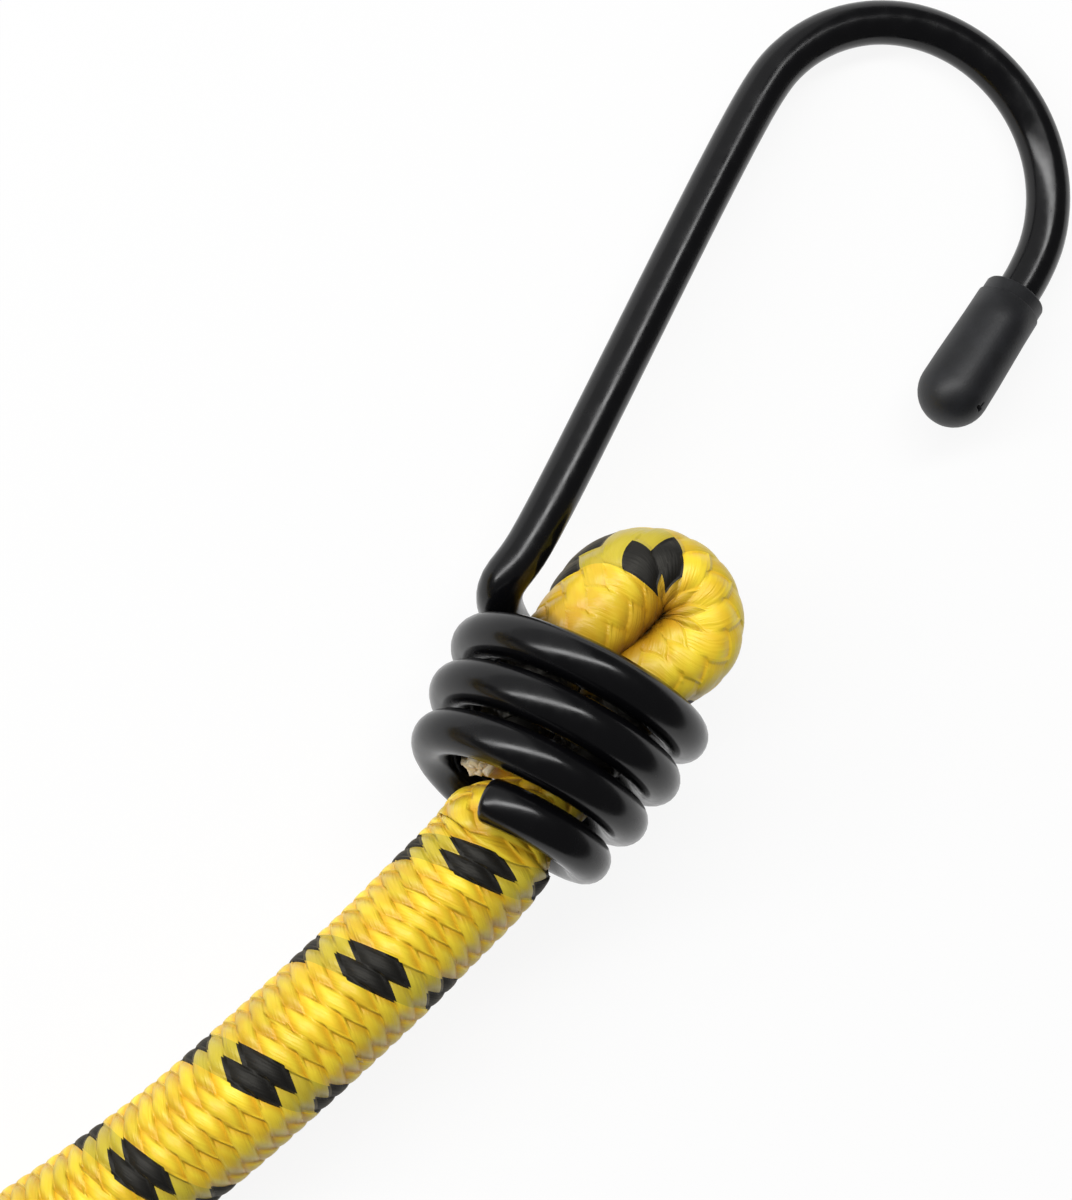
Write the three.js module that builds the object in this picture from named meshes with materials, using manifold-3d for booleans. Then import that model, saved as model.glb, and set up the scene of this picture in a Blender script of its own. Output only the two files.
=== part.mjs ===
// A bungee cord: a braided jacket over a rubber core, each end doubled back through the winding of a
// coated wire hook, whose nose carries a push-on cap. One hook end lies straight out. The rest of the
// cord is stored in a flat round coil under a strap, with the other hook end laid across the coil.
// Millimetres, +Z up from the surface that it lies on. The near hook points along +Y.
import * as THREE from "three";
import { mergeVertices } from "three/addons/utils/BufferGeometryUtils.js";
import Module from "manifold-3d";

const wasm = await Module();
wasm.setup();

// Clearance left between touching pieces, and the length by which a cutting solid runs past a face.
const SEAT_GAP = 0.3;
const OVERRUN = 1;
const MERGE_DISTANCE = 1e-4;

// Cord
const CORD_D = 8;
const JACKET_WALL = 0.7;
const CORE_STICK_OUT = 0.6;
const FLAT_SHARE = 0.1;

// Hook wire
const WIRE_D = 2.85;
const BARE_WIRE_D = 2.3;

// Winding of the hook round the folded cord end
const TURN_GAP = 0.47;
const WINDING_DEG = 1200;
const FULL_TURNS = 3;
const TOP_BORE_R = 5.27;
const MOUTH_BORE_R = 4.07;
const BORE_TAPER_POWER = 1.8;
const END_TUCK = 0.5;
const END_TUCK_DEG = 120;
const TURN_LEAN_DEG = 4;

// Rise from the winding to the shank, behind the folded end
const LEAD_DEG = 140;
const LEAD_RISE = 0.9;
const CORNER_RISE = 4.4;
const CORNER_ALONG_SHARE = 0.42;
const CORNER_DEPTH_SHARE = 0.22;
const SHANK_FOOT_OFFSET = 7.3;

// Shank, bend and nose
const BEND_CENTRE_ALONG = 48.6;
const BEND_CENTRE_ACROSS = 1.45;
const BEND_R = 10.25;
const NOSE_LENGTH = 12.2;
const NOSE_LEAN_DEG = 2.5;

// Cap on the nose
const CAP_LENGTH = 10.9;
const CAP_MOUTH_D = 4.1;
const CAP_END_D = 4.64;
const CAP_LIP = 0.9;
const CAP_LIP_STEP = 0.12;

// Lie of the hook ends on the surface
const NEAR_HOOK_AT = [0, 78];
const NEAR_HOOK_TURN_DEG = 18;
const FAR_HOOK_FROM_COIL = [-20, -1.2];
const FAR_HOOK_TURN_DEG = -9;

// Direction in which the cord leaves a winding, from the winding's axis
const EXIT_SIDE_DEG = 14.5;
const EXIT_DROP_DEG = 9;

// Stored coil
const COIL_START_R = 50.5;
const COIL_SPACING = 8.55;
const COIL_DEG = 459;
const STRAIGHT_LEAD = 8;
const COIL_END_TUCK = 1.8;
const COIL_END_TUCK_DEG = 40;

// Strap round the coil's two turns
const STRAP_AT_DEG = 52;
const STRAP_WIDTH = 9;
const STRAP_THICK = 0.6;
const STRAP_TAB = 9;
const STRAP_CORNER_SHARE = 0.86;
const STRAP_SIDE_ROOM = 0.8;
const LIFT_SPAN_DEG = 26;

// Facets
const WIRE_SIDES = 8;
const WIRE_STEP = 1.75;
const WIRE_POINT_DEG = 15;
const LEAD_POINT_DEG = 20;
const CORD_SIDES = 10;
const NEAR_RUN_STEP = 2.8;
const FAR_RUN_STEP = 3;
const FAR_RUN_POINTS = 10;
const COIL_SIDES = 8;
const COIL_POINT_DEG = 7.5;
const COIL_STEP = 6;
const FOLD_SIDES = 14;
const CAP_SIDES = 16;
const CAP_END_STEPS = 4;
const STRAP_CORNER_STEPS = 4;
const LENGTH_SAMPLES = 24;

// Where one tube winds past itself, its gap is measured from this far round on, at this many places a point.
const NEXT_TURN_DEG = 300;
const GAP_SAMPLES = 6;

const BLACK_COAT = { color: 0x141416, roughness: 0.3, metalness: 0 };
const CAP_GREY = { color: 0x2b2c2e, roughness: 0.65, metalness: 0 };
const YELLOW_BRAID = { color: 0xf0c828, roughness: 0.6, metalness: 0 };
const PALE_RUBBER = { color: 0xe6dcc0, roughness: 0.8, metalness: 0 };
const BLACK_STRAP = { color: 0x1c1c1e, roughness: 0.85, metalness: 0 };

const CORD_R = CORD_D / 2;
const WIRE_R = WIRE_D / 2;
const CORE_SHRINK = JACKET_WALL + SEAT_GAP;
const PITCH = WIRE_D + TURN_GAP;
const WINDING_HEIGHT = FULL_TURNS * PITCH;
const UP = new THREE.Vector3(0, 0, 1);
const radians = THREE.MathUtils.degToRad;
const lerp = THREE.MathUtils.lerp;

// A closed geometry as a solid for joining or cutting, and back again.
function toSolid(geometry) {
  const bare = geometry.index ? geometry.toNonIndexed() : geometry.clone();
  bare.deleteAttribute("normal");
  bare.deleteAttribute("uv");
  const merged = mergeVertices(bare, MERGE_DISTANCE);
  return new wasm.Manifold(
    new wasm.Mesh({
      numProp: 3,
      vertProperties: merged.attributes.position.array,
      triVerts: new Uint32Array(merged.index.array),
    }),
  );
}

function toGeometry(solid) {
  const mesh = solid.getMesh();
  const geometry = new THREE.BufferGeometry();
  geometry.setAttribute("position", new THREE.BufferAttribute(mesh.vertProperties, 3));
  geometry.setIndex(new THREE.BufferAttribute(mesh.triVerts, 1));
  geometry.computeVertexNormals();
  return geometry;
}

// A regular polygon with a flat side down, with an optional round hole of the same count of sides.
function roundSection(radius, sides, holeRadius = 0) {
  const ring = (r) =>
    Array.from({ length: sides }, (_, i) => {
      const angle = (2 * Math.PI * (i + 0.5)) / sides;
      return new THREE.Vector2(r * Math.cos(angle), r * Math.sin(angle));
    });
  const shape = new THREE.Shape(ring(radius));
  if (holeRadius > 0) shape.holes.push(new THREE.Path(ring(holeRadius).reverse()));
  return shape;
}

function smoothCurve(points) {
  const curve = new THREE.CatmullRomCurve3(points, false, "centripetal");
  curve.arcLengthDivisions = points.length * LENGTH_SAMPLES;
  return curve;
}

function tubeAlong(points, section, steps) {
  const extrudePath = smoothCurve(points);
  return new THREE.ExtrudeGeometry(section, { steps, extrudePath, bevelEnabled: false });
}

// The least gap of a tube wound through an angle to its own neighbouring turn.
function leastGapToItself(points, diameter, woundDeg) {
  const count = points.length * GAP_SAMPLES;
  const centres = smoothCurve(points).getSpacedPoints(count);
  const apart = Math.round((count * NEXT_TURN_DEG) / woundDeg);
  let least = Infinity;
  for (let i = 0; i < centres.length; i += 1) {
    for (let j = i + apart; j < centres.length; j += 1) {
      least = Math.min(least, centres[i].distanceTo(centres[j]) - diameter);
    }
  }
  return least;
}

function lengthOf(points) {
  return smoothCurve(points).getLength();
}

// The wire's centre line, in the hook's own frame: X across towards the nose, Y along the winding's axis
// towards the crown, Z to the front. The free end of the winding comes first.
function boreRadius(degrees) {
  const share = Math.max(degrees, 0) / (360 * FULL_TURNS);
  const tuck = Math.max(0, (degrees - WINDING_DEG) / END_TUCK_DEG + 1);
  return TOP_BORE_R - (TOP_BORE_R - MOUTH_BORE_R) * share ** BORE_TAPER_POWER - END_TUCK * tuck ** 2;
}

function windingPoint(degrees) {
  const radius = boreRadius(degrees) + WIRE_R;
  const x = radius * Math.cos(radians(degrees));
  const z = radius * Math.sin(radians(degrees));
  const along = WINDING_HEIGHT - (PITCH * degrees) / 360 + x * Math.tan(radians(TURN_LEAN_DEG));
  return new THREE.Vector3(x, along, z);
}

function windingPoints() {
  const points = [];
  for (let degrees = WINDING_DEG; degrees >= 0; degrees -= WIRE_POINT_DEG) {
    points.push(windingPoint(degrees));
  }
  return points;
}

function leadPoints() {
  const points = [];
  for (let degrees = LEAD_POINT_DEG; degrees <= LEAD_DEG; degrees += LEAD_POINT_DEG) {
    const point = windingPoint(-degrees);
    point.y += LEAD_RISE * (degrees / LEAD_DEG) ** 2;
    points.push(point);
  }
  const last = points[points.length - 1];
  const foot = new THREE.Vector3(-SHANK_FOOT_OFFSET, last.y + CORNER_RISE, 0);
  const cornerAlong = lerp(last.y, foot.y, CORNER_ALONG_SHARE);
  const corner = new THREE.Vector3(-SHANK_FOOT_OFFSET, cornerAlong, CORNER_DEPTH_SHARE * last.z);
  points.push(corner, foot);
  return points;
}

function bendPoints() {
  const centre = new THREE.Vector3(BEND_CENTRE_ACROSS, BEND_CENTRE_ALONG, 0);
  const points = [];
  for (let degrees = 180; degrees >= 0; degrees -= WIRE_POINT_DEG) {
    const spoke = new THREE.Vector3(Math.cos(radians(degrees)), Math.sin(radians(degrees)), 0);
    points.push(spoke.multiplyScalar(BEND_R).add(centre));
  }
  return points;
}

const noseStart = new THREE.Vector3(BEND_CENTRE_ACROSS + BEND_R, BEND_CENTRE_ALONG, 0);
const noseDown = new THREE.Vector3(0, -1, 0).applyAxisAngle(UP, -radians(NOSE_LEAN_DEG));
const noseEnd = noseStart.clone().addScaledVector(noseDown, NOSE_LENGTH);
const capMouth = noseEnd.clone().addScaledVector(noseDown, SEAT_GAP + capWall() - CAP_LENGTH);

function capWall() {
  return (CAP_MOUTH_D - BARE_WIRE_D) / 2 - SEAT_GAP;
}

// Turns a piece modelled along +Y so that its +Y runs back up the nose, and puts its origin at a point.
function alongNose(geometry, origin) {
  const turn = new THREE.Quaternion().setFromUnitVectors(new THREE.Vector3(0, -1, 0), noseDown);
  return geometry.applyQuaternion(turn).translate(origin.x, origin.y, origin.z);
}

function hookGeometry() {
  const winding = windingPoints();
  const coatEnd = capMouth.clone().addScaledVector(noseDown, -SEAT_GAP);
  const points = [...winding, ...leadPoints(), ...bendPoints(), coatEnd];
  const steps = Math.round(lengthOf(points) / WIRE_STEP);
  const coated = tubeAlong(points, roundSection(WIRE_R, WIRE_SIDES), steps);
  const bareLength = coatEnd.distanceTo(noseEnd) + OVERRUN;
  const bare = new THREE.CylinderGeometry(BARE_WIRE_D / 2, BARE_WIRE_D / 2, bareLength, CAP_SIDES);
  alongNose(bare.translate(0, bareLength / 2, 0), noseEnd);
  const turnGap = leastGapToItself(winding, WIRE_D, WINDING_DEG);
  console.log(`winding of the hook: least gap to itself ${turnGap.toFixed(2)} mm`);
  return toGeometry(toSolid(coated).add(toSolid(bare)));
}

// The cap, along +Y from its round end to its mouth, with the bore for the bare wire inside.
function capGeometry() {
  const endR = CAP_END_D / 2;
  const mouthR = CAP_MOUTH_D / 2;
  const boreR = BARE_WIRE_D / 2 + SEAT_GAP;
  const profile = [new THREE.Vector2(0, 0)];
  for (let i = 1; i <= CAP_END_STEPS; i += 1) {
    const angle = (Math.PI / 2) * (i / CAP_END_STEPS);
    profile.push(new THREE.Vector2(endR * Math.sin(angle), endR * (1 - Math.cos(angle))));
  }
  profile.push(new THREE.Vector2(mouthR + CAP_LIP_STEP, CAP_LENGTH - CAP_LIP - CAP_LIP_STEP));
  profile.push(new THREE.Vector2(mouthR, CAP_LENGTH - CAP_LIP));
  profile.push(new THREE.Vector2(mouthR, CAP_LENGTH));
  profile.push(new THREE.Vector2(boreR, CAP_LENGTH));
  profile.push(new THREE.Vector2(boreR, capWall()));
  profile.push(new THREE.Vector2(0, capWall()));
  const cap = new THREE.LatheGeometry(profile, CAP_SIDES);
  return alongNose(cap, capMouth.clone().addScaledVector(noseDown, CAP_LENGTH));
}

// The folded end. A station has its place across, along and to the front, its half width and its half depth.
// Inside the winding the two legs share the bore. Above it the fold swells to the cord's own girth.
function boreAt(along) {
  return boreRadius(360 * FULL_TURNS * (1 - along / WINDING_HEIGHT)) - SEAT_GAP;
}

function legStation(side, alongShare) {
  const along = alongShare * WINDING_HEIGHT;
  const room = boreAt(along);
  return [side * (room / 2), along, 0, (room - SEAT_GAP) / 2, room * LEG_DEPTH_SHARE];
}

// Places as shares of the cord's diameter: across, along and to the front, then half width and half depth.
// The exit is counted from the winding's mouth level, and the fold from its top level.
const EXIT_SHARES = [
  [0.0, -0.55, -0.125, 0.5, 0.5],
  [0.055, -0.37, -0.095, 0.445, 0.42],
  [0.115, -0.15, -0.06, 0.335, 0.385],
  [0.19, 0.075, -0.02, 0.25, 0.4],
];
const FOLD_SHARES = [
  [0.3, 0.2, 0.01, 0.25, 0.42],
  [0.475, 0.43, 0.015, 0.315, 0.515],
  [0.59, 0.66, 0.02, 0.355, 0.59],
];
const FOLD_TAIL_SHARES = [
  [-0.2, 0.66, 0.02, 0.365, 0.58],
  [-0.205, 0.42, 0.03, 0.335, 0.52],
  [-0.25, 0.19, 0.02, 0.29, 0.48],
];
const TAIL_END_SHARES = [-0.31, 0.165, 0.05, 0.19, 0.34];
const LEG_ALONG_SHARES = [0.26, 0.55, 0.97];
const LEG_DEPTH_SHARE = 0.79;
const FOLD_TOP_SHARES = [0.352, 0.335, 0.325, 0.335, 0.358];
const FOLD_DEPTH_SHARE = 0.6;

function foldStations() {
  const byCord = (base) => (shares) => shares.map((share, i) => share * CORD_D + (i === 1 ? base : 0));
  const fromTop = byCord(WINDING_HEIGHT);
  const rise = FOLD_SHARES.map(fromTop);
  const fall = FOLD_TAIL_SHARES.map(fromTop);
  const first = rise[rise.length - 1];
  const last = fall[0];
  const middle = (first[0] + last[0]) / 2;
  const reach = (first[0] - last[0]) / 2;
  const over = FOLD_TOP_SHARES.map((share, i) => {
    const angle = (Math.PI * (i + 1)) / (FOLD_TOP_SHARES.length + 1);
    const across = middle + reach * Math.cos(angle);
    const along = first[1] + reach * Math.sin(angle);
    return [across, along, first[2], share * CORD_D, FOLD_DEPTH_SHARE * CORD_D];
  });
  return [
    ...EXIT_SHARES.map(byCord(0)),
    ...LEG_ALONG_SHARES.map((share) => legStation(1, share)),
    ...rise,
    ...over,
    ...fall,
    ...LEG_ALONG_SHARES.toReversed().map((share) => legStation(-1, share)),
    byCord(0)(TAIL_END_SHARES),
  ];
}

// The frame at each station: the way along, across the fold's plane, and to the front.
function stationFrames(stations) {
  const places = stations.map(([x, y, z]) => new THREE.Vector3(x, y, z));
  const exitWay = exitDirection().negate();
  return places.map((place, i) => {
    const before = places[Math.max(i - 1, 0)];
    const after = places[Math.min(i + 1, places.length - 1)];
    const way = i === 0 ? exitWay : after.clone().sub(before).normalize();
    const across = new THREE.Vector3().crossVectors(way, UP).normalize();
    const front = new THREE.Vector3().crossVectors(across, way).normalize();
    return { place, way, across, front };
  });
}

function exitDirection() {
  const side = radians(EXIT_SIDE_DEG);
  const drop = radians(EXIT_DROP_DEG);
  const level = Math.cos(drop);
  return new THREE.Vector3(-level * Math.sin(side), -level * Math.cos(side), -Math.sin(drop));
}

// The square corner of a squeezed leg grows with the power, and 2 is a plain ellipse.
const ROUND_POWER = 2;
const SQUEEZED_POWER = 2.4;

function ovalRing(frame, halfWidth, halfDepth, power) {
  return Array.from({ length: FOLD_SIDES }, (_, i) => {
    const angle = (2 * Math.PI * i) / FOLD_SIDES;
    const bent = (value) => Math.sign(value) * Math.abs(value) ** (2 / power);
    return frame.place
      .clone()
      .addScaledVector(frame.across, halfWidth * bent(Math.cos(angle)))
      .addScaledVector(frame.front, halfDepth * bent(Math.sin(angle)));
  });
}

// Rings joined into a closed skin. With inner rings the result is a sleeve that is open at both ends.
function skin(outer, inner) {
  const sides = outer[0].length;
  const count = outer.length;
  const points = inner ? [...outer.flat(), ...inner.flat()] : outer.flat();
  const index = [];
  const quad = (a, b, c, d) => index.push(a, b, c, a, c, d);
  const walls = (start, flip) => {
    for (let ring = 0; ring < count - 1; ring += 1) {
      for (let k = 0; k < sides; k += 1) {
        const next = (k + 1) % sides;
        const low = start + ring * sides;
        const corners = [low + k, low + next, low + sides + next, low + sides + k];
        quad(...(flip ? corners.reverse() : corners));
      }
    }
  };
  walls(0, true);
  const lastRing = (count - 1) * sides;
  if (inner) {
    const shift = count * sides;
    walls(shift, false);
    for (let k = 0; k < sides; k += 1) {
      const next = (k + 1) % sides;
      quad(next, shift + next, shift + k, k);
      quad(lastRing + k, shift + lastRing + k, shift + lastRing + next, lastRing + next);
    }
  } else {
    for (let k = 1; k < sides - 1; k += 1) {
      index.push(0, k, k + 1);
      index.push(lastRing, lastRing + k + 1, lastRing + k);
    }
  }
  const geometry = new THREE.BufferGeometry().setFromPoints(points);
  geometry.setIndex(index);
  geometry.computeVertexNormals();
  return geometry;
}

function foldRings(shrink, stations = foldStations()) {
  const frames = stationFrames(stations);
  return frames.map((frame, i) => {
    const power = i === 0 ? ROUND_POWER : SQUEEZED_POWER;
    return ovalRing(frame, stations[i][3] - shrink, stations[i][4] - shrink, power);
  });
}

function foldJacketGeometry() {
  return skin(foldRings(0), foldRings(JACKET_WALL));
}

function foldCoreGeometry() {
  const rings = foldRings(CORE_SHRINK);
  const frames = stationFrames(foldStations());
  const { way } = frames[frames.length - 1];
  const cutEnd = rings[rings.length - 1];
  rings.push(cutEnd.map((point) => point.clone().addScaledVector(way, CORE_STICK_OUT)));
  return skin(rings);
}

function meshOf(name, geometry, finish) {
  const mesh = new THREE.Mesh(geometry, new THREE.MeshStandardMaterial(finish));
  mesh.name = name;
  return mesh;
}

// One end of the cord: hook, cap and folded cord, in the hook's own frame.
function hookEnd(end) {
  const group = new THREE.Group();
  group.add(meshOf(`${end}_hook`, hookGeometry(), BLACK_COAT));
  group.add(meshOf(`${end}_tip_cap`, capGeometry(), CAP_GREY));
  group.add(meshOf(`${end}_fold_jacket`, foldJacketGeometry(), YELLOW_BRAID));
  group.add(meshOf(`${end}_fold_core`, foldCoreGeometry(), PALE_RUBBER));
  return group;
}

// Lays a hook end on the surface: turned in plan, its crown pitched up or down, its lowest point at zero.
function layDown(group, [x, y], turnDeg, pitchDeg) {
  group.rotation.set(radians(pitchDeg), 0, radians(turnDeg), "ZXY");
  group.position.set(x, y, 0);
  group.updateMatrixWorld(true);
  group.position.z = -new THREE.Box3().setFromObject(group, true).min.z;
  group.updateMatrixWorld(true);
}

// Pitch at which the winding and the crown both touch the surface, and at which the cap clears the coil.
const windingBack = windingPoint(-90);
const crownReach = BEND_CENTRE_ALONG + BEND_R - windingBack.y;
const nearPitchDeg = -THREE.MathUtils.radToDeg(Math.asin((-windingBack.z) / crownReach));
const capMiddle = (capMouth.y + noseEnd.y) / 2;
const coilTop = 2 * CORD_R - FLAT_SHARE * CORD_D;
const capClear = coilTop + SEAT_GAP + CAP_END_D / 2 - (-windingBack.z + WIRE_R);
const farPitchDeg = THREE.MathUtils.radToDeg(Math.atan(capClear / (capMiddle - windingBack.y)));

const near = hookEnd("near");
layDown(near, NEAR_HOOK_AT, NEAR_HOOK_TURN_DEG, nearPitchDeg);

const coilCentre = new THREE.Vector3(-COIL_START_R, 0, 0);
const far = hookEnd("far");
const farAt = [coilCentre.x + FAR_HOOK_FROM_COIL[0], coilCentre.y + FAR_HOOK_FROM_COIL[1]];
layDown(far, farAt, FAR_HOOK_TURN_DEG, farPitchDeg);

// Where the cord leaves a laid hook end, and the way in which it goes.
function exitOf(group) {
  const [x, y, z] = EXIT_SHARES[0].map((share) => share * CORD_D);
  const place = group.localToWorld(new THREE.Vector3(x, y, z));
  const way = exitDirection().transformDirection(group.matrixWorld);
  return { place, way };
}

// The run from the near hook down to the surface and on to the coil. The first and last diameter are
// straight. The points between are chosen by hand: across, distance from the coil's start, and height.
const LYING = CORD_R - FLAT_SHARE * CORD_D;
const RUN_POINTS = [
  [1.5, 48.3, 8.55],
  [1.72, 43.2, 7.3],
  [1.8, 38.4, 5.9],
  [1.74, 33.6, 4.65],
  [1.56, 28.8, 3.75],
  [1.28, 24.0, 3.3],
];
const RUN_FLAT_POINTS = [
  [0.95, 19.2],
  [0.6, 14.4],
  [0.27, 9.6],
];

// Three points along a straight stretch, from one distance along its way to another.
function stubPoints(place, way, first, last) {
  return [first, (first + last) / 2, last].map((reach) => place.clone().addScaledVector(way, reach));
}

function nearRunPoints() {
  const { place, way } = exitOf(near);
  const coilStart = new THREE.Vector3(0, STRAIGHT_LEAD, LYING);
  const north = new THREE.Vector3(0, 1, 0);
  return [
    ...stubPoints(place, way, SEAT_GAP, CORD_D),
    ...RUN_POINTS.map(([x, y, z]) => new THREE.Vector3(x, STRAIGHT_LEAD + y, z)),
    ...RUN_FLAT_POINTS.map(([x, y]) => new THREE.Vector3(x, STRAIGHT_LEAD + y, LYING)),
    ...stubPoints(coilStart, north, CORD_D / 2, SEAT_GAP),
  ];
}

// The stored coil: a flat spiral, each turn lying beside the last, lifted a little where the strap
// passes under it.
function liftAt(degrees) {
  const off = Math.min(Math.abs(degrees - STRAP_AT_DEG), Math.abs(degrees - STRAP_AT_DEG - 360));
  if (off > LIFT_SPAN_DEG) return 0;
  const full = STRAP_THICK + SEAT_GAP + FLAT_SHARE * CORD_D;
  return (full * (1 + Math.cos((Math.PI * off) / LIFT_SPAN_DEG))) / 2;
}

function coilPoint(degrees) {
  const tuck = Math.max(0, (degrees - COIL_DEG) / COIL_END_TUCK_DEG + 1);
  const radius = COIL_START_R - (COIL_SPACING * degrees) / 360 - COIL_END_TUCK * tuck ** 2;
  const angle = -radians(degrees);
  const offset = new THREE.Vector3(radius * Math.cos(angle), radius * Math.sin(angle), 0);
  return offset.add(coilCentre).setZ(LYING + liftAt(degrees));
}

function coilPoints() {
  const start = new THREE.Vector3(0, 0, LYING);
  const north = new THREE.Vector3(0, 1, 0);
  const points = stubPoints(start, north, STRAIGHT_LEAD, STRAIGHT_LEAD / 4);
  const count = Math.round(COIL_DEG / COIL_POINT_DEG);
  for (let i = 0; i <= count; i += 1) points.push(coilPoint((COIL_DEG * i) / count));
  points.push(...stubPoints(coilPoint(COIL_DEG), coilHeading(COIL_DEG), CORD_D / 4, CORD_D));
  return points;
}

function coilHeading(degrees) {
  const before = coilPoint(degrees - COIL_POINT_DEG / 2);
  return coilPoint(degrees + COIL_POINT_DEG / 2).sub(before).setZ(0).normalize();
}

// The last stretch, from the coil up into the far hook's winding.
const FAR_RUN_START_HANDLE = 11;
const FAR_RUN_END_HANDLE = 9;

function farRunPoints() {
  const { place, way } = exitOf(far);
  const heading = coilHeading(COIL_DEG);
  const start = coilPoint(COIL_DEG).addScaledVector(heading, CORD_D);
  const bendStart = start.clone().addScaledVector(heading, CORD_D / 2);
  const bendEnd = place.clone().addScaledVector(way, CORD_D / 2);
  const bend = new THREE.CubicBezierCurve3(
    bendStart,
    bendStart.clone().addScaledVector(heading, FAR_RUN_START_HANDLE),
    bendEnd.clone().addScaledVector(way, FAR_RUN_END_HANDLE),
    bendEnd,
  );
  return [
    ...stubPoints(start, heading, SEAT_GAP, CORD_D / 4),
    ...bend.getPoints(FAR_RUN_POINTS),
    ...stubPoints(place, way, CORD_D / 4, SEAT_GAP),
  ];
}

// A stretch of cord as jacket and core. The underside is pressed flat where it lies on the surface.
function pressFlat(geometry, centres, middleR, outerLevel, innerLevel) {
  const position = geometry.attributes.position;
  const vertex = new THREE.Vector3();
  for (let i = 0; i < position.count; i += 1) {
    vertex.fromBufferAttribute(position, i);
    const reach = Math.min(...centres.map((centre) => centre.distanceTo(vertex)));
    const level = reach > middleR ? outerLevel : innerLevel;
    if (vertex.z < level) position.setZ(i, level);
  }
  return geometry;
}

function cordStretch(name, points, sides, step) {
  const steps = Math.round(lengthOf(points) / step);
  const centres = smoothCurve(points).getSpacedPoints(steps);
  const boreR = CORD_R - JACKET_WALL;
  const jacket = tubeAlong(points, roundSection(CORD_R, sides, boreR), steps);
  pressFlat(jacket, centres, (CORD_R + boreR) / 2, 0, JACKET_WALL);
  const core = tubeAlong(points, roundSection(CORD_R - CORE_SHRINK, sides), steps);
  pressFlat(core, centres, 0, CORE_SHRINK, CORE_SHRINK);
  return [meshOf(`${name}_jacket`, jacket, YELLOW_BRAID), meshOf(`${name}_core`, core, PALE_RUBBER)];
}

// The strap: a band round both turns, its end lapped over its top.
function strapGeometry() {
  const halfInnerHeight = CORD_R + SEAT_GAP / 2;
  const halfInnerWidth = COIL_SPACING / 2 + CORD_R + STRAP_SIDE_ROOM;
  const band = (grow) => {
    const halfWidth = halfInnerWidth + grow;
    const halfHeight = halfInnerHeight + grow;
    const corner = halfHeight * STRAP_CORNER_SHARE;
    const shape = new THREE.Path();
    shape.moveTo(-halfWidth + corner, -halfHeight);
    shape.absarc(halfWidth - corner, -halfHeight + corner, corner, -Math.PI / 2, 0, false);
    shape.absarc(halfWidth - corner, halfHeight - corner, corner, 0, Math.PI / 2, false);
    shape.absarc(-halfWidth + corner, halfHeight - corner, corner, Math.PI / 2, Math.PI, false);
    shape.absarc(-halfWidth + corner, -halfHeight + corner, corner, Math.PI, Math.PI * 1.5, false);
    return shape.getPoints(STRAP_CORNER_STEPS);
  };
  const outline = new THREE.Shape(band(STRAP_THICK));
  outline.holes.push(new THREE.Path(band(0).reverse()));
  const loop = new THREE.ExtrudeGeometry(outline, { depth: STRAP_WIDTH, steps: 1, bevelEnabled: false });
  loop.translate(0, 0, -STRAP_WIDTH / 2);
  const top = halfInnerHeight + STRAP_THICK;
  const lap = new THREE.BoxGeometry(STRAP_TAB, STRAP_THICK * 2, STRAP_WIDTH - 2 * SEAT_GAP);
  lap.translate(0, top, 0);
  const strap = toGeometry(toSolid(loop).add(toSolid(lap)));
  const angle = -radians(STRAP_AT_DEG);
  const middle = coilPoint(STRAP_AT_DEG).add(coilPoint(STRAP_AT_DEG + 360)).multiplyScalar(0.5);
  const spoke = new THREE.Vector3(Math.cos(angle), Math.sin(angle), 0);
  const along = new THREE.Vector3().crossVectors(spoke, UP);
  strap.applyMatrix4(new THREE.Matrix4().makeBasis(spoke, UP, along));
  return strap.translate(middle.x, middle.y, halfInnerHeight + STRAP_THICK);
}

const nearRoute = nearRunPoints();
const coilRoute = coilPoints();
const farRoute = farRunPoints();
const coilGap = leastGapToItself(coilRoute, CORD_D, COIL_DEG);
console.log(`stored coil: least gap to itself ${coilGap.toFixed(2)} mm`);
const free = lengthOf(nearRoute) + lengthOf(coilRoute) + lengthOf(farRoute);
console.log(`free cord between the windings ${free.toFixed(1)} mm`);

const bungee = new THREE.Group();
bungee.add(near, far);
bungee.add(...cordStretch("near_run", nearRoute, CORD_SIDES, NEAR_RUN_STEP));
bungee.add(...cordStretch("coil", coilRoute, COIL_SIDES, COIL_STEP));
bungee.add(...cordStretch("far_run", farRoute, CORD_SIDES, FAR_RUN_STEP));
bungee.add(meshOf("coil_strap", strapGeometry(), BLACK_STRAP));

export default bungee;
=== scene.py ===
"""A bungee cord: a braided elastic cord with a coated wire hook wound on each end.

Sizes are in millimetres, as on a maker's drawing, and turn to metres where a mesh is made. The near hook
lies straight out from the stored coil, and the far hook lies across it.
"""
import logging
import math
from collections.abc import Callable, Sequence
from dataclasses import dataclass, field
from enum import Enum

import bmesh
import bpy
import numpy as np
from bmesh.types import BMEdge, BMesh, BMVert
from bpy.types import ID, Material, Node, NodeSocket, NodeTree, Object
from mathutils import Matrix, Vector


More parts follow.
